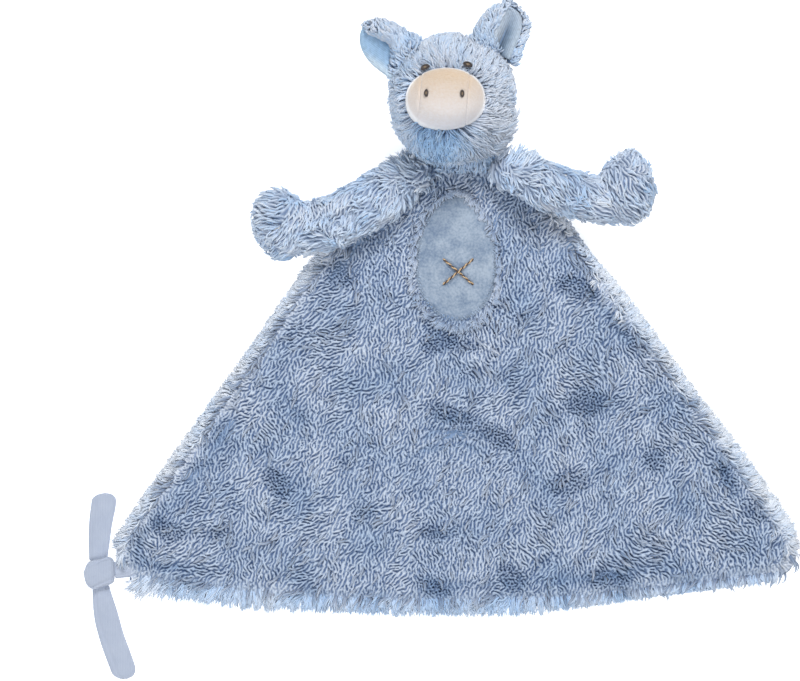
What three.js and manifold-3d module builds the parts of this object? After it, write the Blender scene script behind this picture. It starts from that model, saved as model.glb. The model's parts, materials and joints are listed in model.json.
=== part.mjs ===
// A comfort blanket with a plush animal's head, lying face up on a table.
// Millimetres. +X runs across the hem, +Y to the crown of the head, +Z up to the face.
// The origin is under the neck, on the plane that the blanket rests on.
import * as THREE from 'three';
import { mergeVertices } from 'three/addons/utils/BufferGeometryUtils.js';
import Module from 'manifold-3d';

const wasm = await Module();
wasm.setup();

const seamGap = 0.3;
const weldReach = 1e-5;

// Blanket: a plush front panel on a smooth backing, both cut to one rounded triangle.
const hemWidth = 325;
const hemDrop = 213;
const backThickness = 1.2;
const backInset = 1.6;
const pileHeight = 7.4;
const pressedPileShare = 0.64;
const waveHeight = 0.7;
const rimRound = 9;

// Neck: the gathered top of the front panel, which the head turns on.
const neckRadius = 7.2;
const neckHalfWidth = 12;
const neckX = 2.5;
const neckY = 5;

// Tummy patch, its stitched edge and the crossed stitches.
const patchHalfWidth = 19.6;
const patchHalfHeight = 31;
const patchDrop = 44.5;
const patchThickness = 1.3;
const patchDome = 1.5;
const edgeThread = 0.4;
const edgeStitchReach = 0.75;
const crossThread = 0.75;
const crossHalfWidth = 7.2;
const crossHalfHeight = 6;

// Head: an egg with a sewn-on snout and an embroidered face.
const headHalfWidth = 29.2;
const headHalfHeight = 30;
const headHalfDepth = 25.5;
const headX = -2.4;
const headY = 31.4;
const headFlat = 0.5;
const headWall = 4;
const snoutHalfWidth = 19;
const snoutHalfHeight = 14.9;
const snoutReach = 64;
const snoutWall = 1.2;
const eyeHalfWidth = 2.25;
const nostrilHalfHeight = 1.8;
const embroideryThickness = 0.7;

// Ears: a plush back with a smooth lining in its cup.
const earLength = 24.6;
const earHalfWidth = 12.6;
const earThickness = 4.6;
const liningThickness = 1.2;
const earFoldDegrees = [-20, 0, 18, 35];

// Arms: a flat sewn root, a round sleeve and a full paw.
const armWall = 2.8;
const armRootHalfHeight = 5;
const leftArm = {
  side: -1,
  rootDrop: 9,
  reach: 67.9,
  drop: 24.4,
  halfWidth: 13.5,
  halfDepth: 11,
  pawHalfWidth: 15.6,
  pawHalfHeight: 16.8,
  pawHalfDepth: 14.4,
  pawTurn: -0.1,
  routeShares: [[0.38, 0.55, 0.05], [0.7, 0.98, 0.9], [1.04, 1.1, 1]],
};
const rightArm = {
  side: 1,
  rootDrop: 8,
  reach: 61.3,
  drop: 7.8,
  halfWidth: 12,
  halfDepth: 10.4,
  pawHalfWidth: 13.8,
  pawHalfHeight: 18.3,
  pawHalfDepth: 13.5,
  pawTurn: 0.1,
  routeShares: [[0.39, 0.83, 0.05], [0.72, 1.6, 0.7], [1.04, 1.92, 1]],
};

// Ribbon: a tab sewn into the left corner, a knot on it and two free tails.
const ribbonHalfWidth = 5.7;
const ribbonHalfThickness = 1.6;
const knotHalfWidth = 7.2;
const knotHalfHeight = 4.2;
const upperTailLength = 31;
const lowerTailLength = 43.7;
const upperTailShares = [[-0.02, 0], [-0.03, 0.32], [0.006, 0.68], [0.052, 1]];
const lowerTailShares = [[0.018, 0], [0.046, 0.25], [0.114, 0.55], [0.229, 0.85], [0.279, 1]];

const plushColour = '#a9bcd8';
const ribbonColour = '#b1bfdb';
const velourColour = '#90abc9';
const creamColour = '#ebdccb';
const stuffingColour = '#f2f2ee';
const threadColour = '#5c5552';

const point = (x, y, z = 0) => new THREE.Vector3(x, y, z);
const smooth = (value, low, high) => THREE.MathUtils.smoothstep(value, low, high);

// A closed skin over rings of points. The first and last rings are single points.
function loft(rings) {
  const positions = [];
  const starts = [];
  for (const ring of rings) {
    starts.push(positions.length / 3);
    for (const p of ring) {
      positions.push(p.x, p.y, p.z);
    }
  }
  const indices = [];
  for (let r = 0; r + 1 < rings.length; r += 1) {
    const sides = Math.max(rings[r].length, rings[r + 1].length);
    for (let s = 0; s < sides; s += 1) {
      const corner = (row, step) => starts[row] + ((s + step) % sides) % rings[row].length;
      if (rings[r].length > 1) {
        indices.push(corner(r, 0), corner(r, 1), corner(r + 1, 0));
      }
      if (rings[r + 1].length > 1) {
        indices.push(corner(r, 1), corner(r + 1, 1), corner(r + 1, 0));
      }
    }
  }
  const geometry = new THREE.BufferGeometry();
  geometry.setAttribute('position', new THREE.Float32BufferAttribute(positions, 3));
  geometry.setIndex(indices);
  return geometry;
}

// A three.js geometry as a solid that can be cut and joined.
function solid(geometry) {
  const bare = geometry.clone();
  bare.deleteAttribute('normal');
  bare.deleteAttribute('uv');
  const welded = mergeVertices(bare, weldReach);
  const made = new wasm.Manifold(new wasm.Mesh({
    numProp: 3,
    vertProperties: new Float32Array(welded.attributes.position.array),
    triVerts: new Uint32Array(welded.index.array),
  }));
  return made.volume() < 0 ? solid(flipped(welded)) : made;
}

function flipped(geometry) {
  const turned = geometry.clone();
  const order = Array.from(turned.index.array);
  turned.setIndex(order.reverse());
  return turned;
}

function geometryOf(manifold) {
  const mesh = manifold.getMesh();
  const geometry = new THREE.BufferGeometry();
  geometry.setAttribute('position', new THREE.BufferAttribute(new Float32Array(mesh.vertProperties), 3));
  geometry.setIndex(new THREE.BufferAttribute(new Uint32Array(mesh.triVerts), 1));
  geometry.computeVertexNormals();
  return geometry;
}

// A mound on a flat base inside an outline: rings shrink to the centre, and height(x, y, share) is its top.
function mound(outline, centre, base, height, ringShares) {
  const rings = [[point(centre.x, centre.y, height(centre.x, centre.y, 0))]];
  for (const share of ringShares) {
    rings.push(outline.map((p) => {
      const x = THREE.MathUtils.lerp(centre.x, p.x, share);
      const y = THREE.MathUtils.lerp(centre.y, p.y, share);
      return point(x, y, height(x, y, share));
    }));
  }
  rings.push(outline.map((p) => point(p.x, p.y, base)));
  rings.push([point(centre.x, centre.y, base)]);
  return solid(loft(rings));
}

// A limb along a curve, `trim` shorter at each end. section(t, local) gives its half width across and half
// height in Z, at t along the curve and at local along the trimmed stretch.
function limb(curve, section, steps, sides, trim = 0) {
  const cut = trim / curve.getLength();
  const rings = [];
  for (let k = 0; k <= steps; k += 1) {
    const local = (1 - Math.cos((Math.PI * k) / steps)) / 2;
    const t = THREE.MathUtils.lerp(cut, 1 - cut, local);
    const centre = curve.getPointAt(t);
    if (k === 0 || k === steps) {
      rings.push([centre]);
      continue;
    }
    const along = curve.getTangentAt(t);
    const across = point(0, 0, 1).cross(along).normalize();
    const up = along.clone().cross(across);
    const [halfWidth, halfHeight] = section(t, local);
    rings.push(Array.from({ length: sides }, (_, s) => {
      const angle = (2 * Math.PI * s) / sides;
      return centre.clone()
        .addScaledVector(across, halfWidth * Math.cos(angle))
        .addScaledVector(up, halfHeight * Math.sin(angle));
    }));
  }
  return solid(loft(rings));
}

// How far a round end has opened at t, for ends that take the given shares of the length.
function roundEnds(t, startShare, endShare) {
  const start = Math.max(0, 1 - t / startShare);
  const end = Math.max(0, 1 - (1 - t) / endShare);
  return Math.sqrt(Math.max(0, 1 - Math.max(start, end) ** 2));
}

const pieces = new THREE.Group();

function addPiece(name, manifold, colour, roughness = 0.95) {
  const material = new THREE.MeshStandardMaterial({ color: colour, roughness, metalness: 0 });
  const mesh = new THREE.Mesh(geometryOf(manifold), material);
  mesh.name = name;
  pieces.add(mesh);
}

// The blanket's outline, drawn `inset` inside the plush edge. Its right corner is laid out a little fuller.
function blanketOutline(inset, count) {
  const apex = point(hemWidth * 0.547 - inset * 1.6, -hemDrop * 0.927 + inset);
  const bow = point(0, -hemDrop * 1.052 + inset);
  const shoulder = point(hemWidth * 0.148 - inset, -hemDrop * 0.078);
  const shoulderTurn = point(hemWidth * 0.105, neckY - inset);
  const neckEnd = point(neckHalfWidth, neckY - inset);
  const leftTop = shoulder.clone().lerp(apex, 0.82);
  const leftEnd = apex.clone().lerp(bow, 0.19);
  const rightTop = shoulder.clone().lerp(apex, 0.85);
  const rightEnd = apex.clone().lerp(bow, 0.17);
  const shape = new THREE.Shape();
  shape.moveTo(neckX - neckEnd.x, neckEnd.y);
  shape.quadraticCurveTo(-shoulderTurn.x, shoulderTurn.y, -shoulder.x, shoulder.y);
  shape.lineTo(-leftTop.x, leftTop.y);
  shape.quadraticCurveTo(-apex.x, apex.y, -leftEnd.x, leftEnd.y);
  shape.quadraticCurveTo(bow.x, bow.y, rightEnd.x, rightEnd.y);
  shape.quadraticCurveTo(apex.x, apex.y, rightTop.x, rightTop.y);
  shape.lineTo(shoulder.x, shoulder.y);
  shape.quadraticCurveTo(shoulderTurn.x, shoulderTurn.y, neckX + neckEnd.x, neckEnd.y);
  shape.closePath();
  return shape.getSpacedPoints(count).slice(0, count);
}

// An egg-shaped outline, narrower at the top.
function patchOutline(grow, count) {
  const topNarrowing = 0.12;
  return Array.from({ length: count }, (_, k) => {
    const angle = (2 * Math.PI * k) / count;
    const across = (patchHalfWidth + grow) * Math.cos(angle) * (1 - topNarrowing * Math.sin(angle));
    return point(across, (patchHalfHeight + grow) * Math.sin(angle) - patchDrop);
  });
}

const pileBase = backThickness + seamGap;
const blanketCentre = point(0, -hemDrop * 0.6);
const pressedTop = pileBase + pileHeight * pressedPileShare;
const patchBed = pileBase + pileHeight * pressedPileShare * 0.5;
const neck = point(neckX, neckY, pileBase + neckRadius);

// The pile is pressed flat under the arms and full below them, with shallow folds down the blanket.
function pileTop(x, y, share) {
  const pressed = smooth(-y, hemDrop * 0.16, hemDrop * 0.34);
  const fullHeight = THREE.MathUtils.lerp(pileHeight * pressedPileShare, pileHeight, pressed);
  const fold = Math.sin(x / (hemWidth * 0.05) + y / (hemDrop * 0.11)) + Math.sin(y / (hemDrop * 0.08));
  const rim = Math.sqrt(Math.max(0.09, 1 - smooth(share, 1 - rimRound / (hemWidth * 0.3), 1) ** 2));
  return pileBase + (fullHeight + pressed * waveHeight * 0.5 * fold) * rim;
}

function addBlanket() {
  const backShape = new THREE.Shape(blanketOutline(backInset, 64));
  const back = new THREE.ExtrudeGeometry(backShape, { depth: backThickness, bevelEnabled: false });
  addPiece('blanket_back', solid(back), '#9fb8d6');

  const ringShares = [0.18, 0.38, 0.57, 0.74, 0.87, 0.94, 0.98, 1];
  const sheet = mound(blanketOutline(0, 80), blanketCentre, pileBase, pileTop, ringShares);
  const bed = new THREE.ExtrudeGeometry(new THREE.Shape(patchOutline(seamGap, 48)), {
    depth: pileHeight * 2,
    bevelEnabled: false,
  });
  bed.translate(0, 0, patchBed);
  const front = sheet.subtract(solid(bed)).subtract(tabForm(seamGap)).add(neckRoll(0));
  addPiece('blanket_front', front, plushColour);
}

// The gathered roll at the neck seam, made fatter by `grow` where it is used as a cutter.
function neckRoll(grow) {
  const line = new THREE.LineCurve3(
    point(neck.x - neckHalfWidth - grow, neck.y, neck.z),
    point(neck.x + neckHalfWidth + grow, neck.y, neck.z),
  );
  const radius = neckRadius + grow;
  return limb(line, (t) => Array(2).fill(radius * roundEnds(t, 0.2, 0.2) ** 0.5), 8, 18);
}

function patchTop(share) {
  return patchBed + seamGap + patchThickness + patchDome * (1 - share ** 3);
}

function addTummyPatch() {
  const centre = point(0, -patchDrop);
  const patch = mound(patchOutline(0, 48), centre, patchBed + seamGap, (x, y, s) => patchTop(s),
    [0.35, 0.65, 0.86, 1]);
  addPiece('tummy_patch', patch, velourColour);
}

// A thread sewn to and fro across the patch's edge, in one closed run.
function addTummyStitching() {
  const steps = 116;
  const thread = new THREE.TorusGeometry(2, 1, 4, steps);
  const place = thread.attributes.position;
  const line = patchOutline(-edgeStitchReach * 2, steps);
  for (let k = 0; k < place.count; k += 1) {
    const unit = point(place.getX(k), place.getY(k), place.getZ(k));
    const turn = (Math.atan2(unit.y, unit.x) / (2 * Math.PI) + 1) % 1;
    const step = Math.round(turn * steps) % steps;
    const outward = line[step].clone().setY(line[step].y + patchDrop).normalize();
    const zigzag = step % 2 ? edgeStitchReach : -edgeStitchReach;
    const side = zigzag + (Math.hypot(unit.x, unit.y) - 2) * edgeThread;
    const z = patchTop(0.86) + seamGap + edgeThread * (1 + unit.z);
    place.setXYZ(k, line[step].x + outward.x * side, line[step].y + outward.y * side, z);
  }
  addPiece('tummy_stitching', solid(thread), '#b9c8e2');
}

// One long stitch over the patch. The upper stitch arches over the lower one.
function addCrossStitch(name, slope, arch, colour) {
  const low = patchTop(0) + seamGap + crossThread;
  const centre = point(patchHalfWidth * 0.05, -patchDrop - patchHalfHeight * 0.22, low);
  const reach = point(crossHalfWidth, slope * crossHalfHeight);
  const line = new THREE.CatmullRomCurve3([
    centre.clone().sub(reach),
    centre.clone().addScaledVector(reach, -0.3),
    centre.clone().add(point(0, 0, arch)),
    centre.clone().addScaledVector(reach, 0.3),
    centre.clone().add(reach),
  ]);
  const thick = (t) => Array(2).fill(crossThread * roundEnds(t, 0.06, 0.06));
  addPiece(name, limb(line, thick, 14, 8), colour);
}

const head = point(headX, headY, headHalfDepth - headFlat);
const snout = point(headX - headHalfWidth * 0.1, headY - headHalfHeight * 0.045);

// The head's egg: wall is how far inside the plush surface it is drawn. It is cut flat where it rests.
function headForm(wall, sides, steps) {
  const half = point(headHalfWidth - wall, headHalfHeight - wall, headHalfDepth - wall);
  const floor = wall === 0 ? 0 : headFlat + wall * 0.8;
  const rings = [];
  for (let k = 0; k <= steps; k += 1) {
    const tilt = (Math.PI * k) / steps;
    const z = Math.max(floor, head.z + half.z * Math.cos(tilt));
    if (k === 0 || k === steps) {
      rings.push([point(head.x, head.y, z)]);
      continue;
    }
    rings.push(Array.from({ length: sides }, (_, s) => {
      const angle = (2 * Math.PI * s) / sides;
      const reach = Math.sin(tilt);
      return point(head.x + half.x * reach * Math.cos(angle), head.y + half.y * reach * Math.sin(angle), z);
    }));
  }
  return solid(loft(rings));
}

function headTop(x, y) {
  const across = ((x - head.x) / headHalfWidth) ** 2 + ((y - head.y) / headHalfHeight) ** 2;
  return head.z + headHalfDepth * Math.sqrt(Math.max(0, 1 - across));
}

const snoutRoot = head.z + headHalfDepth * 0.55;
const snoutSquareness = 2 / 2.7;

// The snout's oval, a little flatter along its lower edge.
function snoutRing(wall, share, z, sides) {
  return Array.from({ length: sides }, (_, s) => {
    const angle = (2 * Math.PI * s) / sides;
    const rise = Math.sin(angle);
    const flat = rise < 0 ? 0.86 : 1;
    const y = Math.sign(rise) * Math.abs(rise) ** flat * (snoutHalfHeight - wall) * share;
    return point(snout.x + (snoutHalfWidth - wall) * share * Math.cos(angle), snout.y + y, z);
  });
}

// The snout stands up out of the head, with straight sides and a full, rounded front.
function snoutForm(wall, sides, steps) {
  const reach = snoutReach - wall - snoutRoot;
  const rings = [[point(snout.x, snout.y, snoutRoot + reach)]];
  for (let k = 1; k <= steps; k += 1) {
    const tilt = (Math.PI / 2) * (k / steps);
    const share = Math.sin(tilt) ** snoutSquareness;
    rings.push(snoutRing(wall, share, snoutRoot + reach * Math.cos(tilt) ** snoutSquareness, sides));
  }
  rings.push(snoutRing(wall, 1, head.z, sides));
  rings.push([point(snout.x, snout.y, head.z)]);
  return solid(loft(rings));
}

function snoutTop(x, y) {
  const across = Math.hypot((x - snout.x) / snoutHalfWidth, (y - snout.y) / snoutHalfHeight);
  const power = 2 / snoutSquareness;
  return snoutRoot + (snoutReach - snoutRoot) * Math.max(0, 1 - across ** power) ** (1 / power);
}

function box(low, high) {
  const size = high.clone().sub(low);
  const geometry = new THREE.BoxGeometry(size.x, size.y, size.z);
  geometry.translate(low.x + size.x / 2, low.y + size.y / 2, low.z + size.z / 2);
  return solid(geometry);
}

function addHead() {
  const cover = headForm(0, 36, 18)
    .subtract(headForm(headWall, 24, 12))
    .subtract(snoutForm(-seamGap, 32, 6))
    .subtract(neckRoll(seamGap));
  addPiece('head_cover', cover, '#b3c3dc');
  const filling = headForm(headWall + seamGap, 24, 12)
    .add(snoutForm(snoutWall + seamGap, 24, 6))
    .subtract(neckRoll(headWall));
  addPiece('head_stuffing', filling, stuffingColour);
}

// Three velour panels, sewn side by side with two seams that run down the snout.
function addSnout() {
  const shell = snoutForm(0, 32, 7)
    .subtract(snoutForm(snoutWall, 24, 6))
    .subtract(headForm(headWall, 24, 12));
  const far = snoutHalfWidth * 2;
  const leftSeam = snout.x - snoutHalfWidth * 0.66;
  const rightSeam = snout.x + snoutHalfWidth * 0.56;
  const slices = [
    ['snout_left_panel', snout.x - far, leftSeam - seamGap / 2],
    ['snout_front_panel', leftSeam + seamGap / 2, rightSeam - seamGap / 2],
    ['snout_right_panel', rightSeam + seamGap / 2, snout.x + far],
  ];
  for (const [name, low, high] of slices) {
    const slice = box(point(low, snout.y - far, 0), point(high, snout.y + far, snoutReach * 2));
    addPiece(name, shell.intersect(slice), creamColour);
  }
}

// A small embroidered oval that lies on a curved surface at x, y.
function addEmbroidery(name, surface, x, y, halfWidth, halfHeight, turn) {
  const step = halfWidth * 0.25;
  const slopeX = (surface(x + step, y) - surface(x - step, y)) / (2 * step);
  const slopeY = (surface(x, y + step) - surface(x, y - step)) / (2 * step);
  const normal = point(-slopeX, -slopeY, 1).normalize();
  const oval = Array.from({ length: 16 }, (_, k) => {
    const angle = (2 * Math.PI * k) / 16;
    const flat = point(halfWidth * Math.cos(angle), halfHeight * Math.sin(angle));
    return flat.applyAxisAngle(point(0, 0, 1), turn);
  });
  const crown = (px, py, share) => embroideryThickness * (1 - 0.4 * share * share);
  const pad = geometryOf(mound(oval, point(0, 0), 0, crown, [0.5, 1]));
  pad.applyQuaternion(new THREE.Quaternion().setFromUnitVectors(point(0, 0, 1), normal));
  const foot = point(x, y, surface(x, y)).addScaledVector(normal, seamGap);
  pad.translate(foot.x, foot.y, foot.z);
  addPiece(name, solid(pad), threadColour, 0.7);
}

function addFace() {
  const eyeHalfHeight = eyeHalfWidth * 0.7;
  addEmbroidery('eye_left', headTop, head.x - headHalfWidth * 0.425, head.y + headHalfHeight * 0.446,
    eyeHalfWidth, eyeHalfHeight, 0.2);
  addEmbroidery('eye_right', headTop, head.x + headHalfWidth * 0.255, head.y + headHalfHeight * 0.487,
    eyeHalfWidth, eyeHalfHeight, -0.2);
  const nostrilHalfWidth = nostrilHalfHeight * 0.58;
  const nostrils = [['nostril_left', -0.475, 0.135], ['nostril_right', 0.395, 0.115]];
  for (const [name, acrossShare, upShare] of nostrils) {
    addEmbroidery(name, snoutTop, snout.x + snoutHalfWidth * acrossShare, snout.y + snoutHalfHeight * upShare,
      nostrilHalfWidth, nostrilHalfHeight, 0);
  }
}

// A leaf with a round, sewn base, cupped to the front; s runs to its tip and w is its half width.
function earSheet(length, halfWidth, thickness, low, cup) {
  const steps = 10;
  const sides = 16;
  const rings = [];
  for (let k = 0; k <= steps; k += 1) {
    const t = (1 - Math.cos((Math.PI * k) / steps)) / 2;
    const open = roundEnds(t, earThickness / 2 / length, 0.42);
    const swell = 0.82 + 0.18 * Math.sin(Math.PI * Math.min(1, t * 1.25));
    const width = halfWidth * swell * Math.max(open, 0.02);
    if (k === 0 || k === steps) {
      rings.push([point(length * t, 0, low + thickness / 2)]);
      continue;
    }
    rings.push(Array.from({ length: sides }, (_, s) => {
      const angle = (2 * Math.PI * s) / sides;
      const across = width * Math.cos(angle);
      const rise = cup * (across / halfWidth) ** 2 * smooth(t, 0, 0.4);
      const half = (thickness / 2) * Math.min(1, open * 1.6);
      return point(length * t, across, low + thickness / 2 + rise + half * Math.sin(angle));
    }));
  }
  return loft(rings);
}

const earCup = earHalfWidth * 0.34;

// The space that the head takes up beside an ear, through the ear's whole fold.
function headBesideEar(pivot, direction) {
  const axis = direction.clone().cross(point(0, 0, 1)).normalize();
  const turned = earFoldDegrees.map((degrees) => {
    const form = geometryOf(headForm(-seamGap, 36, 18));
    form.translate(-pivot.x, -pivot.y, -pivot.z);
    form.applyQuaternion(new THREE.Quaternion().setFromAxisAngle(axis, -THREE.MathUtils.degToRad(degrees)));
    form.translate(pivot.x, pivot.y, pivot.z);
    return solid(form);
  });
  return turned.reduce((whole, part) => whole.add(part));
}

// Both layers of an ear, from a base point on the head towards its tip. The lining lies to the side away from the
// crown, so the plush shows beside it.
function addEar(side, pivot, direction, sideways) {
  const turn = Math.atan2(direction.y, direction.x);
  const back = earSheet(earLength + earThickness / 2, earHalfWidth, earThickness, -earThickness / 2, earCup);
  back.translate(-earThickness / 2, 0, 0);
  const lining = earSheet(earLength * 0.84, earHalfWidth * 0.7, liningThickness,
    earThickness / 2 + seamGap, earCup * 0.42);
  lining.translate(earThickness * 0.5, sideways * earHalfWidth * 0.12, 0);
  for (const sheet of [back, lining]) {
    sheet.rotateZ(turn);
    sheet.translate(pivot.x, pivot.y, pivot.z);
  }
  const beside = headBesideEar(pivot, direction);
  addPiece(`ear_${side}_back`, solid(back).subtract(beside), plushColour);
  addPiece(`ear_${side}_lining`, solid(lining).subtract(beside).subtract(solid(back)), '#9fc0e2');
}

function earPivot(angle) {
  const clear = seamGap + earThickness / 2;
  return point(
    head.x + (headHalfWidth + clear) * Math.cos(angle),
    head.y + (headHalfHeight + clear) * Math.sin(angle),
    head.z + headHalfDepth * 0.08,
  );
}

function addEars() {
  const leftAngle = 2.45;
  const rightAngle = 0.86;
  addEar('left', earPivot(leftAngle), point(-0.81, 0.59), 1);
  addEar('right', earPivot(rightAngle), point(0.38, 0.92), -1);
}

const armRest = pressedTop + seamGap;

function armRoot(arm) {
  const clear = neckHalfWidth + armRootHalfHeight + seamGap * 2;
  return point(neck.x + arm.side * clear, neck.y - arm.rootDrop, armRest + armRootHalfHeight);
}

// An arm's centre line, from inside the seam to inside the paw. It comes down off the blanket on the way.
function armCurve(arm) {
  const root = armRoot(arm);
  const inSeam = root.clone().add(point(-arm.side * armRootHalfHeight, armRootHalfHeight * 0.2));
  const along = arm.routeShares.map(([across, down, lower]) => point(
    root.x + arm.side * arm.reach * across,
    root.y - arm.drop * down,
    THREE.MathUtils.lerp(armRest + arm.halfDepth, seamGap + arm.pawHalfDepth, lower),
  ));
  return new THREE.CatmullRomCurve3([inSeam, root, ...along]);
}

// A whole arm, `wall` inside its surface.
function armForm(arm, wall, steps, sides) {
  const curve = armCurve(arm);
  const inside = curve.getLength() - wall * 2;
  const rootHalf = [armRootHalfHeight * 1.4, armRootHalfHeight];
  const sleeveHalf = [arm.halfWidth, arm.halfDepth];
  const sleeve = limb(curve, (t, local) => {
    const open = roundEnds(local, (armRootHalfHeight - wall) / inside, (arm.halfWidth - wall) / inside);
    return [0, 1].map((k) => (
      (THREE.MathUtils.lerp(rootHalf[k], sleeveHalf[k], smooth(t, 0, 0.45)) - wall) * open
    ));
  }, steps, sides, wall);
  const paw = new THREE.SphereGeometry(1, sides, Math.round(sides * 0.75));
  paw.rotateX(Math.PI / 2);
  paw.scale(arm.pawHalfWidth - wall, arm.pawHalfHeight - wall, arm.pawHalfDepth - wall);
  paw.rotateZ(arm.pawTurn);
  const root = armRoot(arm);
  paw.translate(root.x + arm.side * arm.reach, root.y - arm.drop, seamGap + arm.pawHalfDepth);
  return sleeve.add(solid(paw));
}

// The open end of a cover, where it is sewn into the neck seam.
function armMouth(arm) {
  const curve = armCurve(arm);
  const start = curve.getPointAt(0);
  const along = curve.getTangentAt(0);
  const line = new THREE.LineCurve3(
    start.clone().addScaledVector(along, -armRootHalfHeight),
    start.clone().addScaledVector(along, armRootHalfHeight * 2),
  );
  const size = armRootHalfHeight - armWall;
  return limb(line, (t) => [size * 1.6, size].map((v) => v * roundEnds(t, 0.1, 0.2)), 6, 10);
}

function addArm(name, arm) {
  const cover = armForm(arm, 0, 14, 18).subtract(armForm(arm, armWall, 12, 12)).subtract(armMouth(arm));
  addPiece(`${name}_cover`, cover, plushColour);
  addPiece(`${name}_stuffing`, armForm(arm, armWall + seamGap, 12, 12), stuffingColour);
}

const knot = point(-hemWidth * 0.5265, -hemDrop * 0.918, knotHalfHeight);

// The half width and half thickness of a tape that is narrower at its knotted root.
function tapeSection(length, rootShare) {
  return (t) => {
    const open = roundEnds(t, (ribbonHalfWidth * 0.5) / length, (ribbonHalfWidth * 0.8) / length);
    const wide = THREE.MathUtils.lerp(rootShare, 1, smooth(t, 0, 0.3));
    return [ribbonHalfWidth * wide * open, ribbonHalfThickness * Math.min(1, open * 1.5)];
  };
}

// A free end of the ribbon. Its shares of length run across and away from the knot.
function addTail(name, direction, length, shares) {
  const curve = new THREE.CatmullRomCurve3(shares.map(([across, away]) => (
    point(knot.x + length * across, knot.y + direction * (knotHalfWidth + length * away), ribbonHalfThickness)
  )));
  addPiece(name, limb(curve, tapeSection(curve.getLength(), 0.74), 14, 12), ribbonColour, 0.85);
}

function tabForm(grow) {
  const z = pileBase + ribbonHalfThickness;
  const start = point(knot.x + knotHalfWidth + seamGap - grow, knot.y + ribbonHalfWidth * 0.1, z);
  const end = start.clone().add(point(ribbonHalfWidth * 2 + grow * 2, ribbonHalfWidth * 0.4, 0));
  const half = [ribbonHalfWidth * 0.66 + grow, ribbonHalfThickness + grow];
  return limb(new THREE.LineCurve3(start, end), (t) => half.map((v) => v * roundEnds(t, 0.12, 0.12)), 10, 14);
}

// The knot bulges to full sides, with a flat top and a flat foot.
function knotForm() {
  const steps = 10;
  const rings = [];
  for (let k = 0; k <= steps; k += 1) {
    const tilt = (Math.PI * k) / steps;
    const rise = Math.cos(tilt);
    const reach = knotHalfWidth * Math.cbrt(1 - Math.abs(rise) ** 3);
    const z = knot.z + knotHalfHeight * rise;
    const pole = k === 0 || k === steps;
    rings.push(pole ? [point(knot.x, knot.y, z)] : Array.from({ length: 20 }, (_, s) => {
      const angle = (Math.PI * s) / 10;
      return point(knot.x + reach * Math.cos(angle), knot.y + reach * Math.sin(angle), z);
    }));
  }
  return solid(loft(rings));
}

function addRibbon() {
  addPiece('ribbon_tab', tabForm(0), ribbonColour, 0.85);
  addPiece('ribbon_knot', knotForm(), ribbonColour, 0.85);
  addTail('ribbon_upper_tail', 1, upperTailLength, upperTailShares);
  addTail('ribbon_lower_tail', -1, lowerTailLength, lowerTailShares);
}

addBlanket();
addTummyPatch();
addTummyStitching();
addCrossStitch('cross_stitch_lower', -1, 0, '#a0603a');
addCrossStitch('cross_stitch_upper', 1, crossThread * 2 + seamGap, '#e8b36b');
addHead();
addSnout();
addFace();
addEars();
addArm('arm_left', leftArm);
addArm('arm_right', rightArm);
addRibbon();

export default pieces;
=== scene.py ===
import json
import math

import bmesh
import bpy
import numpy as np
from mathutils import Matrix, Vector
from mathutils.kdtree import KDTree


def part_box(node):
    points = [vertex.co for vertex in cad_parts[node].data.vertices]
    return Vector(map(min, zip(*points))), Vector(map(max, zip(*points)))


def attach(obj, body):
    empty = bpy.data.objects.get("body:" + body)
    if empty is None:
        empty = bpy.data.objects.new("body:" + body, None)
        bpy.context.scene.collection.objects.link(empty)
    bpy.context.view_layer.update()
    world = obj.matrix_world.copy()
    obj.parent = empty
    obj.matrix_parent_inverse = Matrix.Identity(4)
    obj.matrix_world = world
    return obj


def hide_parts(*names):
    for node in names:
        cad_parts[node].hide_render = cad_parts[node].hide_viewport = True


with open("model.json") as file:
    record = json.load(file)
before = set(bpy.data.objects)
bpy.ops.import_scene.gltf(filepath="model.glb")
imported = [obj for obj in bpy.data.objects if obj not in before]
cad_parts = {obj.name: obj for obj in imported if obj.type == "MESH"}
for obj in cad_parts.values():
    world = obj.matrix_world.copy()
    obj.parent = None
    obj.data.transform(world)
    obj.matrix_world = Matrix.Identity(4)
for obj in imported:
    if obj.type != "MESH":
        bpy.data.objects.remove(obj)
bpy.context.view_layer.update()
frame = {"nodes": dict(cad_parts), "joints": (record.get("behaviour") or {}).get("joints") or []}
mm = 0.001

# The view. The blanket lies on a table and is seen straight down from 3 m.
# One pixel of the 800 x 681 picture spans 0.48 mm of the table.
pixel = 0.48 * mm
picture_width = 800
picture_middle = (400, 340.5)
origin_pixel = (456, 165)
camera_height = 3.0
camera_data = bpy.data.cameras.new("camera")
camera_data.sensor_width = 36
camera_data.lens = camera_data.sensor_width * camera_height / (picture_width * pixel)
camera_data.clip_end = 20
camera = bpy.data.objects.new("camera", camera_data)
camera.location = (
    (picture_middle[0] - origin_pixel[0]) * pixel,
    (origin_pixel[1] - picture_middle[1]) * pixel,
    camera_height,
)
bpy.context.scene.collection.objects.link(camera)
bpy.context.scene.camera = camera
bpy.context.scene.view_settings.view_transform = "Standard"

# The studio: a table of white acrylic lit from below, so that nothing casts a shadow on it. A large soft
# light stands over its far side and a weaker one over the near side, with pale light from all round.


def linear(code):
    """An sRGB hex code as a linear colour."""
    parts = [int(code[k:k + 2], 16) / 255 for k in (1, 3, 5)]
    return [v / 12.92 if v <= 0.04045 else ((v + 0.055) / 1.055) ** 2.4 for v in parts] + [1.0]


def add_node(tree, kind, inputs=None, **settings):
    """Adds a node. An input is given a number or a colour, or is linked to another node's output."""
    made = tree.nodes.new(kind)
    for name, value in settings.items():
        setattr(made, name, value)
    for name, value in (inputs or {}).items():
        if isinstance(value, bpy.types.NodeSocket):
            tree.links.new(value, made.inputs[name])
        else:
            made.inputs[name].default_value = value
    return made


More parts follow.
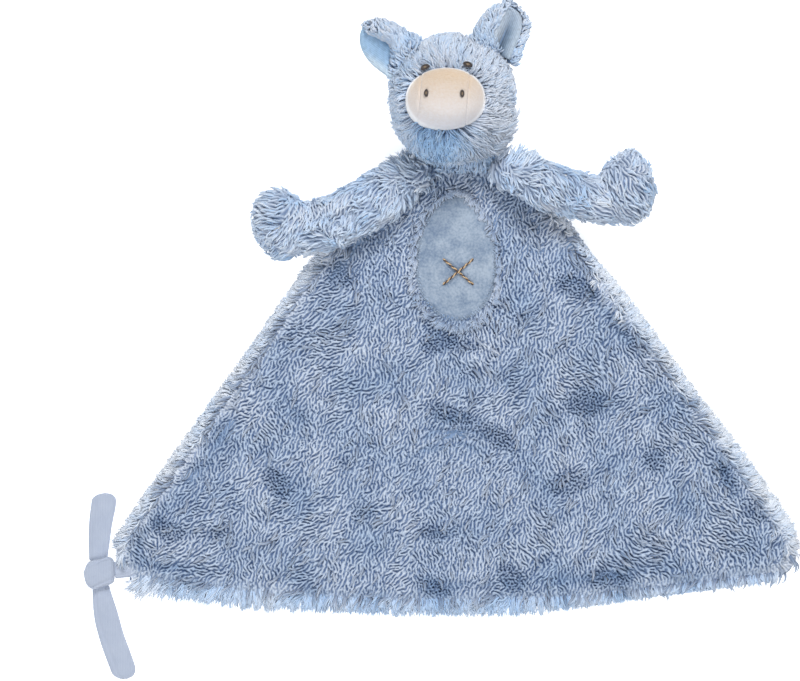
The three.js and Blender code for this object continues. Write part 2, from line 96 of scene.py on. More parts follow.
def start_material(name, roughness, **sockets):
    """A material's tree and its shader, with the sockets that are the same all over."""
    material = bpy.data.materials.new(name)
    material.use_nodes = True
    shader = material.node_tree.nodes["Principled BSDF"]
    shader.inputs["Roughness"].default_value = roughness
    for socket, value in sockets.items():
        shader.inputs[socket.replace("_", " ")].default_value = value
    return material, material.node_tree, shader


def add_piece(name, points, faces, material):
    """A smooth mesh object at the origin, its place in its points."""
    mesh = bpy.data.meshes.new(name)
    mesh.from_pydata([tuple(p) for p in points], [], [tuple(f) for f in faces])
    mesh.polygons.foreach_set("use_smooth", [True] * len(mesh.polygons))
    mesh.materials.append(material)
    piece = bpy.data.objects.new(name, mesh)
    bpy.context.scene.collection.objects.link(piece)
    return piece


def add_light(name, place, target, size, watts):
    """A square, soft light that faces its target."""
    lamp = bpy.data.lights.new(name, "AREA")
    lamp.size = size
    lamp.energy = watts
    light = bpy.data.objects.new(name, lamp)
    light.location = place
    light.rotation_euler = (Vector(target) - Vector(place)).to_track_quat("-Z", "Y").to_euler()
    bpy.context.scene.collection.objects.link(light)


table_half = 2.5
table_drop = 0.05 * mm
acrylic, _, acrylic_shader = start_material("white_acrylic", 0.5, Emission_Strength=0.7)
acrylic_shader.inputs["Base Color"].default_value = linear("#f7f8fa")
acrylic_shader.inputs["Emission Color"].default_value = linear("#ffffff")
table_corners = [(x * table_half, y * table_half, -table_drop)
                 for x, y in ((-1, -1), (1, -1), (1, 1), (-1, 1))]
table = add_piece("table", table_corners, [(0, 1, 2, 3)], acrylic)
look_at = (camera.location.x, camera.location.y, 0)
add_light("high_light", (0.5, 1.3, 1.7), look_at, size=0.8, watts=34)
add_light("low_light", (-0.6, -1.2, 1.6), look_at, size=1.2, watts=23)
surround = bpy.data.worlds.new("studio")
surround.use_nodes = True
surround.node_tree.nodes["Background"].inputs["Color"].default_value = linear("#eef3fa")
surround.node_tree.nodes["Background"].inputs["Strength"].default_value = 0.25
bpy.context.scene.world = surround

# The backing: a single panel of sheared polyester velour under the plush, cut to the same rounded triangle
# and sewn to it round the edge. It lies on the table, flat apart from its turned rim.
hem_width = 325 * mm
hem_drop = 213 * mm
neck_x = 2.5 * mm
neck_y = 5 * mm
neck_half_width = 12 * mm
backing_thickness = 1.2 * mm
backing_inset = 1.6 * mm
seam_gap = 0.3 * mm


def quadratic(start, handle, end, steps):
    """Points on a bend from start to end that is drawn towards a handle, without its last point."""
    t = np.linspace(0, 1, steps, endpoint=False)[:, None]
    return (1 - t) ** 2 * start + 2 * t * (1 - t) * handle + t ** 2 * end


def blanket_outline(inset, count):
    """Evenly spaced points on the rounded triangle, `inset` inside its edge. Its right corner is fuller."""
    apex = np.array([hem_width * 0.547 - inset * 1.6, -hem_drop * 0.927 + inset])
    bow = np.array([0, -hem_drop * 1.052 + inset])
    shoulder = np.array([hem_width * 0.148 - inset, -hem_drop * 0.078])
    shoulder_turn = np.array([hem_width * 0.105, neck_y - inset])
    neck_end = np.array([neck_half_width, neck_y - inset])
    mirror = np.array([-1, 1])
    left_top, right_top = (shoulder + (apex - shoulder) * share for share in (0.82, 0.85))
    left_end, right_end = (apex + (bow - apex) * share for share in (0.19, 0.17))
    across = np.array([neck_x, 0])
    runs = [
        quadratic(neck_end * mirror + across, shoulder_turn * mirror, shoulder * mirror, 30),
        quadratic(shoulder * mirror, (shoulder + left_top) / 2 * mirror, left_top * mirror, 60),
        quadratic(left_top * mirror, apex * mirror, left_end * mirror, 40),
        quadratic(left_end * mirror, bow, right_end, 80),
        quadratic(right_end, apex, right_top, 40),
        quadratic(right_top, (shoulder + right_top) / 2, shoulder, 60),
        quadratic(shoulder, shoulder_turn, neck_end + across, 30),
        (neck_end + across)[None],
    ]
    line = np.concatenate(runs + [runs[0][:1]])
    walked = np.concatenate([[0], np.cumsum(np.linalg.norm(np.diff(line, axis=0), axis=1))])
    stops = np.linspace(0, walked[-1], count, endpoint=False)
    return np.stack([np.interp(stops, walked, line[:, k]) for k in (0, 1)], 1)


def skin(rings):
    """The points and faces of a closed skin over rings of points. A ring of one point is a pole."""
    starts = np.cumsum([0] + [len(ring) for ring in rings])
    faces = []
    for low, high, a, b in zip(starts, starts[1:], rings, rings[1:]):
        sides = max(len(a), len(b))
        for s in range(sides):
            t = (s + 1) % sides
            corners = [low + s % len(a), low + t % len(a), high + t % len(b), high + s % len(b)]
            faces.append(tuple(dict.fromkeys(int(c) for c in corners)))
    points = np.concatenate([np.asarray(ring, float).reshape(-1, 3) for ring in rings])
    a, b, c = (points[[face[k] for face in faces]] - points.mean(0) for k in (0, 1, 2))
    if (a * np.cross(b, c)).sum() < 0:
        faces = [face[::-1] for face in faces]
    return points, faces


def drift(points, wavelength, seed):
    """A smooth, seeded value of about -1 to 1 at each point, which changes over the wavelength."""
    dice = np.random.default_rng(seed)
    heading = dice.normal(size=(16, points.shape[1]))
    heading *= (2 * math.pi / wavelength) / np.linalg.norm(heading, axis=1)[:, None]
    heading *= dice.uniform(0.6, 1.4, (16, 1))
    return np.sin(points @ heading.T + dice.uniform(0, 2 * math.pi, 16)).sum(1) / 4


def sway(points, wavelength, seeds):
    """A drift of its own along each axis."""
    return np.column_stack([drift(points, wavelength, seed) for seed in seeds])


def velour(name, deep, pale, tuft, shading, sheen):
    """Sheared velour: a short, dense nap that hides its knit, matt, and pale where it is brushed up."""
    material, tree, shader = start_material(name, 0.85, Sheen_Weight=sheen, Sheen_Roughness=0.4)
    where = add_node(tree, "ShaderNodeTexCoord").outputs["Object"]
    nap = add_node(tree, "ShaderNodeTexNoise", {"Vector": where, "Scale": 1 / tuft, "Detail": 3.0})
    brushed = add_node(tree, "ShaderNodeTexNoise", {"Vector": where, "Scale": 1 / shading, "Detail": 2.0})
    both = add_node(tree, "ShaderNodeMix", {0: 0.45, 2: brushed.outputs["Fac"], 3: nap.outputs["Fac"]})
    share = add_node(tree, "ShaderNodeMapRange", {
        "Value": both.outputs[0], "From Min": 0.35, "From Max": 0.65})
    colour = add_node(tree, "ShaderNodeMix", {0: share.outputs[0], 6: linear(deep), 7: linear(pale)},
                      data_type="RGBA")
    bump = add_node(tree, "ShaderNodeBump", {
        "Height": nap.outputs["Fac"], "Distance": tuft * 0.5, "Strength": 0.5})
    tree.links.new(colour.outputs[2], shader.inputs["Base Color"])
    tree.links.new(bump.outputs["Normal"], shader.inputs["Normal"])
    return material


blue_velour = velour("sheared_velour_blue", "#71859f", "#a9b7c7", tuft=1.1 * mm, shading=9 * mm, sheen=0.4)
backing_line = blanket_outline(backing_inset, 160)
backing_middle = np.array([0, -hem_drop * 0.6])
backing_rings = []
backing_profile = (
    (0.25, 1), (0.5, 1), (0.75, 1), (0.93, 1), (0.985, 0.9), (1, 0.55), (1, 0.35), (0.985, 0.06),
    (0.9, 0), (0.5, 0))
for share, height in backing_profile:
    flat = backing_middle + (backing_line - backing_middle) * share
    backing_rings.append([(x, y, height * backing_thickness) for x, y in flat])
backing_top, backing_foot = ([(*backing_middle, height)] for height in (backing_thickness, 0))
backing = add_piece("blanket_backing", *skin([backing_top, *backing_rings, backing_foot]), blue_velour)
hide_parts("blanket_back")
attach(backing, "blanket")

# The plush front: a knitted polyester ground, cut as one panel with its top gathered into a roll at the neck.
# The pile hides it, so it is painted as dark as the pile is at its roots, as shade down among the locks.
pile_base = backing_thickness + seam_gap
pile_height = 7.4 * mm
pressed_share = 0.64
ground_inset = 4.4 * mm
ground_share = 0.5
neck_radius = 7.2 * mm
neck_ground = 4.4 * mm
rim_round = 9 * mm
wave_height = 0.7 * mm


def smooth(value, low, high):
    """0 up to low, 1 from high on and a soft step between them."""
    t = np.clip((value - low) / (high - low), 0, 1)
    return t * t * (3 - 2 * t)


def pile_top(x, y):
    """How high the tips of the pile stand: pressed under the arms, full and gently folded below them."""
    full = smooth(-y, hem_drop * 0.16, hem_drop * 0.34)
    fold = np.sin(x / (hem_width * 0.05) + y / (hem_drop * 0.11)) + np.sin(y / (hem_drop * 0.08))
    wave = full * wave_height * 0.5 * fold
    return pile_base + pile_height * (pressed_share + (1 - pressed_share) * full) + wave


knit, knit_tree, knit_shader = start_material("knitted_ground_of_plush", 0.95)
knit_loop = 0.9 * mm
knit_where = add_node(knit_tree, "ShaderNodeTexCoord").outputs["Object"]
knit_loops = add_node(knit_tree, "ShaderNodeTexVoronoi", {"Vector": knit_where, "Scale": 1 / knit_loop})
knit_painted_dark_colour = add_node(knit_tree, "ShaderNodeMix", {0: knit_loops.outputs["Distance"], 6: linear("#8ba3c2"),
                       7: linear("#7189ab")}, data_type="RGBA")
knit_tree.links.new(knit_painted_dark_colour.outputs[2], knit_shader.inputs["Base Color"])

ground_line = blanket_outline(ground_inset, 220)
ground_rings = []
for share in np.linspace(0.04, 1, 26):
    flat = backing_middle + (ground_line - backing_middle) * share
    top = pile_base + (pile_top(*flat.T) - pile_base) * ground_share
    drop = smooth(share, 1 - rim_round / (hem_width * 0.3), 1)
    ground_rings.append(np.column_stack([flat, pile_base + (top - pile_base) * (1 - 0.45 * drop)]))
ground_rings.append(np.column_stack([ground_line, np.full(len(ground_line), pile_base)]))
ground_top = pile_base + (pile_top(*backing_middle) - pile_base) * ground_share
ground_crown, ground_foot = ([(*backing_middle, height)] for height in (ground_top, pile_base))
ground = add_piece("blanket_ground", *skin([ground_crown, *ground_rings, ground_foot]), knit)

neck = np.array([neck_x, neck_y, pile_base + neck_radius])
roll_angles = np.linspace(0, 2 * math.pi, 24, endpoint=False)
pleats_round = 7
roll_rings = [[neck - (neck_half_width, 0, 0)]]
for t in np.linspace(-0.97, 0.97, 19):
    pleats = 1 + 0.07 * np.sin(roll_angles * pleats_round + t * 3)
    radius = neck_ground * (1 - abs(t) ** 5) ** 0.5 * pleats
    roll_rings.append(np.column_stack([
        np.full(len(roll_angles), neck[0] + t * neck_half_width),
        neck[1] + radius * np.cos(roll_angles),
        neck[2] + radius * np.sin(roll_angles),
    ]))
roll_rings.append([neck + (neck_half_width, 0, 0)])
neck_roll = add_piece("neck_gather", *skin(roll_rings), knit)

# The pile: curly polyester sherpa, knitted through the ground in tufts of long locks. Its single fibres are
# too fine to show, so the finest thing drawn is a lock: one tapered strand where it lies loose, and elsewhere
# one curl of a packed carpet.
lock_rings = 7


def corners_of(mesh):
    """A mesh's points, and the way that its surface faces at each."""
    points, normals = (np.zeros(len(mesh.vertices) * 3) for _ in range(2))
    mesh.vertices.foreach_get("co", points)
    mesh.vertices.foreach_get("normal", normals)
    return points.reshape(-1, 3), normals.reshape(-1, 3)


def unit(vectors):
    """Vectors in the same directions, of length 1."""
    return vectors / np.maximum(np.linalg.norm(vectors, axis=-1, keepdims=True), 1e-9)


def along_surface(lay, up):
    """Headings turned to run along a surface that faces `up`."""
    return unit(lay - up * (lay * up).sum(1, keepdims=True))


def tree_of(points):
    """A tree that finds which of some points is nearest."""
    tree = KDTree(len(points))
    for k, point in enumerate(points):
        tree.insert(point, k)
    tree.balance()
    return tree


def sow(piece, per_mm2, dice):
    """Evenly scattered points on a piece, and the way that its surface faces there."""
    mesh = piece.data
    mesh.calc_loop_triangles()
    points, normals = corners_of(mesh)
    triangles = np.zeros(len(mesh.loop_triangles) * 3, int)
    mesh.loop_triangles.foreach_get("vertices", triangles)
    triangles = triangles.reshape(-1, 3)
    a, b, c = (points[triangles[:, k]] for k in range(3))
    areas = np.linalg.norm(np.cross(b - a, c - a), axis=1) / 2
    count = int(areas.sum() / mm ** 2 * per_mm2)
    chosen = dice.choice(len(triangles), count, p=areas / areas.sum())
    u, v = dice.random((2, count, 1))
    u, v = np.where(u + v > 1, 1 - u, u), np.where(u + v > 1, 1 - v, v)

    def blend(values):
        a, b, c = (values[triangles[chosen, k]] for k in range(3))
        return a * (1 - u - v) + b * u + c * v

    return blend(points), unit(blend(normals))


def above_table(points):
    """Presses what would go through the table flat onto it, without letting two heights meet."""
    floor, give = 0.15 * mm, 1.2 * mm
    z = points[..., 2]
    pressed = floor + give * np.exp(np.minimum(z - floor - give, 0) / give)
    points[..., 2] = np.where(z < floor + give, pressed, z)
    return points


def curl_locks(roots, up, lay, length, rise, width, wave, tuft_size, dice, stray=0.2, draw=0.06):
    """Rings of three points for each lock. It stands up from its root and lies over, and its tuft draws its
    tip in. stray is how far the tufts turn from the pile's heading, and draw how far each pulls its locks."""
    count = len(roots)
    centres = roots[dice.choice(count, max(1, count // tuft_size), replace=False)]
    tree = tree_of(centres)
    tuft = np.array([tree.find(p)[1] for p in roots])
    turn = (dice.normal(0, stray, len(centres))[tuft] + dice.normal(0, stray * 0.4, count))[:, None]
    phase = (dice.uniform(0, 2 * math.pi, len(centres))[tuft] + dice.normal(0, 0.4, count))[:, None, None]
    stretch = (dice.uniform(0.9, 1.1, len(centres))[tuft] * dice.uniform(0.85, 1.12, count))[:, None, None]
    lay = along_surface(lay, up)
    lay = lay * np.cos(turn) + np.cross(up, lay) * np.sin(turn)
    side = np.cross(up, lay)
    pull = (centres[tuft] - roots)[:, None] * draw
    up, lay, side, start = (v[:, None] for v in (up, lay, side, roots))
    length, rise = (np.broadcast_to(v, count)[:, None, None] * stretch for v in (length, rise))
    s = np.linspace(0, 1, lock_rings)[None, :, None]
    swing = phase + 2 * math.pi * s
    # Its middle line goes up and over, is drawn to its tuft's middle and waves from side to side.
    line = (start + up * rise * np.sin(s * math.pi * 0.6) + lay * length * s ** 1.3 + pull * s ** 1.4
            + side * wave * np.sin(swing) * s ** 0.7 + up * wave * 0.45 * np.cos(swing) * s)
    along = unit(np.gradient(line, axis=1))
    across = unit(np.cross(along, up + 0.3 * lay))
    over = np.cross(across, along)
    taper = (0.6 + 0.4 * np.sin(math.pi * s ** 0.8)) * (1 - s ** 8) + 0.16
    half = (width * dice.uniform(0.8, 1.15, count))[:, None, None] / 2 * taper
    rings = [line + half * (across * math.cos(a) + over * math.sin(a)) for a in np.radians((90, 210, 330))]
    return above_table(np.stack(rings, 2))


def add_locks(name, body, rings, tint, material, per_piece=5000):
    """Meshes of the locks, in strips from left to right. Each lock keeps its tint and its length in a map."""
    order = np.argsort(rings[:, 0, 0, 0], kind="stable")
    parts = max(1, math.ceil(len(order) / per_piece))
    made = []
    for number, chosen in enumerate(np.array_split(order, parts), 1):
        count = len(chosen)
        mesh = bpy.data.meshes.new(f"{name}_{number}")
        # Quads between the rings, and a triangle at each end.
        corner = np.arange(lock_rings * 3).reshape(lock_rings, 3)
        near, far = corner[:-1], corner[1:]
        quads = np.stack([near, np.roll(near, -1, 1), np.roll(far, -1, 1), far], 2).reshape(-1)
        loops = np.concatenate([quads, corner[0][::-1], corner[-1]])
        every = (loops[None] + np.arange(count)[:, None] * lock_rings * 3).reshape(-1)
        sizes = np.tile([4] * (len(quads) // 4) + [3, 3], count)
        mesh.vertices.add(count * lock_rings * 3)
        mesh.vertices.foreach_set("co", rings[chosen].astype(np.float32).reshape(-1))
        mesh.loops.add(len(every))
        mesh.loops.foreach_set("vertex_index", every.astype(np.int32))
        mesh.polygons.add(len(sizes))
        mesh.polygons.foreach_set("loop_start", np.concatenate([[0], np.cumsum(sizes)[:-1]]).astype(np.int32))
        mesh.polygons.foreach_set("use_smooth", np.ones(len(sizes), bool))
        mesh.update(calc_edges=True)
        spread = np.array([-0.012, 0, 0.012])[loops % 3]
        across = np.clip(tint[chosen, None] + spread, 0.02, 0.98)
        along = np.broadcast_to(loops // 3 / (lock_rings - 1) * 0.94 + 0.03, across.shape)
        layer = mesh.uv_layers.new(name="OFBake")
        layer.data.foreach_set("uv", np.stack([across, along], 2).astype(np.float32).reshape(-1))
        mesh.materials.append(material)
        piece = bpy.data.objects.new(mesh.name, mesh)
        bpy.context.scene.collection.objects.link(piece)
        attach(piece, body)
        made.append(piece)
    return made


def dye_and_paint_shade(piece, tint, tone):
    """Keeps a tint and a tone for each point of a piece in a map, for the pile's colour. A low tone is
    painted shade.
    """
    corners = np.zeros(len(piece.data.loops), int)
    piece.data.loops.foreach_get("vertex_index", corners)
    place = np.clip(np.stack([tint, tone], 1), 0.02, 0.98)[corners]
    piece.data.uv_layers.new(name="OFBake").data.foreach_set("uv", place.astype(np.float32).reshape(-1))


def pile(name, deep_root, deep_tip, pale_root, pale_tip):
    """Polyester pile: matt, each lock dyed a little unlike, and darker and bluer at its root than at its tip:
    painted shade down among the locks.
    """
    material, tree, shader = start_material(name, 0.75, Sheen_Weight=0.35, Sheen_Roughness=0.5)
    shader.inputs["Specular IOR Level"].default_value = 0.25
    place = add_node(tree, "ShaderNodeUVMap", uv_map="OFBake")
    axes = add_node(tree, "ShaderNodeSeparateXYZ", {"Vector": place.outputs["UV"]})
    deep, pale = (
        add_node(tree, "ShaderNodeMix", {0: axes.outputs["Y"], 6: linear(root), 7: linear(tip)},
                 data_type="RGBA")
        for root, tip in ((deep_root, deep_tip), (pale_root, pale_tip)))
    colour = add_node(tree, "ShaderNodeMix", {0: axes.outputs["X"], 6: deep.outputs[2], 7: pale.outputs[2]},
                      data_type="RGBA")
    tree.links.new(colour.outputs[2], shader.inputs["Base Color"])
    return material


# A paler copy of the pile, with painted light: the same cloth where light comes through it.
sherpa = pile("curly_sherpa_pile", "#37547e", "#95b2d3", "#5f789f", "#e4eaf3")
painted_light_sherpa = pile("curly_sherpa_pile_thin", "#94b7df", "#b0d0f0", "#cfdae9", "#f1f4f9")
lock_width = 1.35 * mm
lock_length = 7.4 * mm
lock_wave = 0.6 * mm
dice = np.random.default_rng(11)

patch_low, patch_high = np.array(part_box("tummy_patch"))
patch_middle = (patch_low + patch_high) / 2
patch_half = (patch_high - patch_low) / 2
patch_narrowing = 0.12


def patch_reach(points):
    """How far out from the patch's middle each point is: 1 on its edge, which is narrower at the top."""
    across, along = ((points[:, :2] - patch_middle[:2]) / patch_half[:2]).T
    return np.hypot(across / (1 - patch_narrowing * np.clip(along, -1, 1)), along)


pile_source = np.array([70 * mm, 110 * mm])


def pile_heading(flat):
    """Which way the pile lies at points of the blanket: down and out from pile_source, in whorls."""
    fall = flat - pile_source
    return (np.arctan2(fall[:, 1], fall[:, 0]) + 0.56 * drift(flat, 58 * mm, 3)
            + 0.38 * drift(flat, 22 * mm, 4) + 0.42 * drift(flat, 6 * mm, 12))


def pile_upright(flat):
    """Where the pile stands up, so that one sees into it; its colour is painted bluer and darker there, as
    shade in its depth.
    """
    return smooth(drift(flat, 36 * mm, 6), 0.6, 1.4)


def edge_reach(flat):
    """How far the pile reaches past its seam. It was sheared shorter along the sides than along the hem."""
    x, y = flat.T
    left = smooth(-x, 62 * mm, 95 * mm)
    corner = smooth(-x, 138 * mm, 156 * mm) * smooth(-y, 170 * mm, 184 * mm)
    right = np.exp(-((y + 38 * mm) / (18 * mm)) ** 2) * (x > 0)
    low_right = smooth(-y, 105 * mm, 135 * mm) * (x > 0)
    hem = 2.4 + 2.1 * left + 4 * corner - 4.8 * smooth(x, 20 * mm, 110 * mm)
    side = 0.6 + 1.2 * left * (1 - corner) + 2.6 * right - low_right - 3 * corner
    at_hem = smooth(-y - 0.06 * np.abs(x), 170 * mm, 180 * mm)
    return (hem * at_hem - side * (1 - at_hem)) * mm


def hem_dent(flat, inside):
    """The shallow groove that the hem's turned edge makes in the pile, some way inside it."""
    return np.exp(-((inside - 12 * mm) / (2.6 * mm)) ** 2) * smooth(drift(flat, 70 * mm, 7), -0.6, 0.6)


# Inside its edge the pile is a carpet: its curls lie side by side in short, wavy ridges, so close that only
# fine gaps show between them. The curls are one relief on a fine grid, and the looser locks lie over it.
curl_pitch = 1.45 * mm
curl_length = 3.8 * mm
curl_relief = 1.7 * mm
grid_step = 0.31 * mm
carpet_inset = 0.5 * mm
carpet_share = 0.86


def packed_curls(heading, upright, dice):
    """Curls on a grid, 0 in the gaps and 1 on the crests: grain that is smeared along the pile's heading."""
    rows, columns = heading.shape
    # Grain with lumps as wide as a curl.
    waves = np.hypot(np.fft.fftfreq(rows, grid_step)[:, None], np.fft.fftfreq(columns, grid_step)[None])
    grain = np.fft.fft2(dice.normal(size=heading.shape)) * np.exp(-((waves * curl_pitch - 0.9) / 0.5) ** 2)
    grain = np.fft.ifft2(grain).real
    grain /= grain.std()
    # It is smeared to a curl's length, both ways along the heading.
    curls = np.zeros_like(grain)
    steps = int(curl_length / grid_step / 2)
    for way in (1, -1):
        place = np.indices(heading.shape).astype(float)
        along = way * np.stack([np.sin(heading), np.cos(heading)])
        for step in range(steps):
            at = (np.clip(np.rint(place[0]).astype(int), 0, rows - 1),
                  np.clip(np.rint(place[1]).astype(int), 0, columns - 1))
            curls += grain[at] * math.cos(math.pi / 2 * step / steps) ** 2
            here = np.stack([np.sin(heading[at]), np.cos(heading[at])])
            along = here * np.where((here * along).sum(0) < 0, -1, 1)
            place += along
    # Where the pile stands up, the lumps stay round.
    curls /= curls.std()
    curls += upright * (grain - curls)
    curls = np.fft.ifft2(np.fft.fft2(curls) * np.exp(-(waves * 0.55 * mm) ** 2)).real
    # The relief is evened out, so that no part of the blanket is smooth.
    strength = np.fft.ifft2(np.fft.fft2(curls ** 2) * np.exp(-(waves * 5 * mm) ** 2)).real
    return 1 - ((1 - np.tanh(1.35 * curls / np.sqrt(strength.clip(curls.var() * 0.08)))) / 2) ** 1.3


carpet_line = blanket_outline(carpet_inset, 400)
carpet_low = carpet_line.min(0)
columns, rows = ((carpet_line.max(0) - carpet_low) / grid_step).astype(int) + 2
grid = np.stack(np.meshgrid(np.arange(columns), np.arange(rows)), 2).reshape(-1, 2) * grid_step + carpet_low
# How far inside the edge each point is.
bearing = np.arctan2(*(carpet_line - backing_middle).T[::-1])
reach = np.linalg.norm(carpet_line - backing_middle, axis=1)
order = np.argsort(bearing)
grid_bearing = np.arctan2(*(grid - backing_middle).T[::-1])
limit = np.interp(grid_bearing, bearing[order], reach[order], period=2 * math.pi)
inside = (limit - np.linalg.norm(grid - backing_middle, axis=1)).reshape(rows, columns)
rise_in, run_in = np.gradient(inside, grid_step)
inside /= np.hypot(rise_in, run_in).clip(0.5)
inside += np.minimum(edge_reach(grid), 0).reshape(rows, columns)
# Beside the edge the curls lie square to it.
outward = 1 - smooth(inside, 3 * mm, 9 * mm)
heading = pile_heading(grid).reshape(rows, columns)
turn = np.arctan2(-rise_in, -run_in) - heading
heading += outward * np.arctan(np.tan(turn))
upright = pile_upright(grid).reshape(rows, columns) * (1 - outward)
curls = packed_curls(heading, upright, np.random.default_rng(17))
# The relief, lower at the edge and in the hem's dent, and none where the tummy patch is.
dent = hem_dent(grid, inside.reshape(-1) + carpet_inset).reshape(rows, columns)
lump = drift(grid, 13 * mm, 14).reshape(rows, columns)
crest = (pile_top(*grid.T).reshape(rows, columns) - pile_base) * carpet_share * (1 - 0.2 * dent)
crest = crest * (0.35 + 0.65 * smooth(inside, 0, 9 * mm)) + 0.35 * mm * lump
at_patch = 1 - smooth(patch_reach(grid), 0.94, 1.0).reshape(rows, columns)
depth = curl_relief * (1 + 0.3 * upright - 0.5 * outward)
height = pile_base + (crest - (1 - curls) * depth) * (1 - at_patch)
# The colour: painted bluer and darker as shade where the pile stands up and in the dent, and paler at the
# sides as painted light that comes through the edge.
at_side = outward * np.abs(run_in) / np.hypot(rise_in, run_in)
tint = 0.5 + 0.12 * drift(grid, 30 * mm, 5).reshape(rows, columns) - 0.22 * upright - 0.2 * dent
tint += 0.05 * drift(grid, 5 * mm, 9).reshape(rows, columns) + 0.45 * at_side - 0.1 * (outward - at_side)
# The tone is painted shade: low in the gaps between curls, lower where the pile stands up and in the dent,
# and raised all along the edge as painted light.
tone = 0.04 + 0.92 * curls * (1 - 0.35 * upright) * (1 - 0.15 * dent) + 0.07 * lump
tone += (1 - tone) * (0.36 * outward + 0.24 * at_side)
# The strips, each closed by a wall down from its rim and a flat foot.
surface = np.column_stack([grid, np.maximum(height, pile_base + 0.1 * mm).reshape(-1)])
number = np.arange(rows * columns).reshape(rows, columns)
cells = np.stack([number[:-1, :-1], number[:-1, 1:], number[1:, 1:], number[1:, :-1]], 2).reshape(-1, 4)
cells = cells[(inside.reshape(-1)[cells] > 0).all(1)]
cells = cells[np.argsort(cells[:, 0] % columns, kind="stable")]
carpet_strips = 5
for strip, chosen in enumerate(np.array_split(cells, carpet_strips), 1):
    edges = np.stack([chosen, np.roll(chosen, -1, 1)], 2).reshape(-1, 2)
    ahead, back = (edges[:, a] * rows * columns + edges[:, b] for a, b in ((0, 1), (1, 0)))
    rim = edges[~np.isin(ahead, back)]
    used = np.unique(chosen)
    place = np.full(rows * columns, -1)
    place[used] = np.arange(len(used))
    foot = np.full(rows * columns, -1)
    foot[rim[:, 0]] = len(used) + np.arange(len(rim))
    follows = dict(rim.tolist())
    loop = [int(rim[0, 0])]
    while follows[loop[-1]] != loop[0]:
        loop.append(follows[loop[-1]])
    base = surface[rim[:, 0]] * (1, 1, 0) + (0, 0, pile_base + 0.05 * mm)
    faces = place[chosen].tolist()
    faces += [[place[b], place[a], foot[a], foot[b]] for a, b in rim.tolist()]
    faces.append([foot[k] for k in loop[::-1]])
    piece = add_piece(f"blanket_curls_{strip}", np.concatenate([surface[used], base]), faces, sherpa)
    source_of = np.concatenate([used, rim[:, 0]])
    dye_and_paint_shade(piece, tint.reshape(-1)[source_of], tone.reshape(-1)[source_of])
    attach(piece, "blanket")

# The looser locks: a few lie over the carpet. They are close together at the edge, where they fall outward
# and are thin enough for light to come through. They were sheared shorter along the sides than along the hem.
loose_share = 0.004
roots, up = sow(ground, per_mm2=3.0, dice=dice)
edge_line = blanket_outline(0, 2400)
edge_tree = tree_of([(x, y, 0) for x, y in edge_line])
near = np.array([edge_tree.find((x, y, 0))[1:] for x, y, _ in roots])
at_edge = 1 - smooth(near[:, 1], 5.4 * mm, 8 * mm)
shown = (roots[:, 2] > pile_base + 0.05 * mm) & (patch_reach(roots) > 1.0)
shown &= dice.random(len(roots)) < loose_share + (1 - loose_share) * np.maximum(
    at_edge, 0.5 - 0.5 * smooth(patch_reach(roots), 1.05, 1.12))
roots, up, near, at_edge = (v[shown] for v in (roots, up, near, at_edge))
edge_out = unit(np.column_stack([edge_line[near[:, 0].astype(int)] - roots[:, :2], np.zeros(len(roots))]))
# Beside the ribbon's tab the locks are longer and some lie over it.
tab_low, tab_high = np.array(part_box("ribbon_tab"))
tab_middle = (tab_low + tab_high) / 2
from_tab = roots[:, :2] - tab_middle[:2]
at_tab = at_edge * (1 - smooth(np.linalg.norm(from_tab, axis=1), 14 * mm, 24 * mm))
at_tab *= 1 - smooth(from_tab[:, 1], 4 * mm, 8 * mm)
over_tab = at_tab * smooth(from_tab[:, 1], -10 * mm, -6 * mm)
roots[:, 2] += (tab_high[2] + 0.3 * mm - roots[:, 2]) * over_tab
edge_out = unit(edge_out + np.outer(at_tab, (-1, 0, 0)))
dent = hem_dent(roots[:, :2], near[:, 1])
heading = pile_heading(roots[:, :2])
flow = np.column_stack([np.cos(heading), np.sin(heading), np.zeros(len(roots))])
lay = unit(flow * (1 - 0.8 * at_edge)[:, None] + edge_out * at_edge[:, None])
at_patch = 1 - smooth(patch_reach(roots), 1.03, 1.25)
upright = pile_upright(roots[:, :2]) * (1 - at_edge)
up = unit(up * (1 - at_edge)[:, None] + (edge_out * 0.4 + (0, 0, 1)) * at_edge[:, None])
length = lock_length * (1 - 0.45 * at_patch) * (1 - 0.5 * upright) * (1 - at_edge)
length += (ground_inset + 0.5 * mm + edge_reach(roots[:, :2])) * at_edge + 4 * mm * at_tab
rise = (pile_top(*roots[:, :2].T) - roots[:, 2]) * (1 - 0.7 * at_edge - 0.3 * dent)
rise += (1.2 * at_edge + 0.6 * over_tab) * mm
width = lock_width * (1 - 0.45 * at_edge)
rings = curl_locks(roots, up, lay, length, rise, width, lock_wave, tuft_size=5, dice=dice, draw=0)
# The tint drifts and varies at random, and is painted bluer and darker as shade where the pile stands up and
# in the dent.
tint = 0.5 + 0.1 * drift(roots[:, :2], 30 * mm, 5) + 0.08 * drift(roots[:, :2], 9 * mm, 9)
tint += 0.1 * dice.normal(size=len(roots)) - 0.2 * upright - 0.15 * dent
# The fringe is painted paler, most at the sides, as light that comes through it.
fringe = at_edge > 0.4
tint += fringe * (0.6 * np.abs(edge_out[:, 0]) - 0.15)
blanket_pile = add_locks("blanket_pile", "blanket", rings[~fringe], tint[~fringe], sherpa)
blanket_pile += add_locks("blanket_fringe", "blanket", rings[fringe], tint[fringe], painted_light_sherpa)

# The roll at the neck has the same pile, combed down and to both sides.
roots, up = sow(neck_roll, per_mm2=1.1, dice=dice)
lay = np.column_stack([roots[:, 0] - neck[0], np.full(len(roots), -20 * mm), np.zeros(len(roots))])
rings = curl_locks(roots, up, unit(lay), 6.4 * mm, 2.4 * mm, lock_width, lock_wave, tuft_size=6, dice=dice)
tint = 0.25 + 0.14 * dice.normal(size=len(roots))
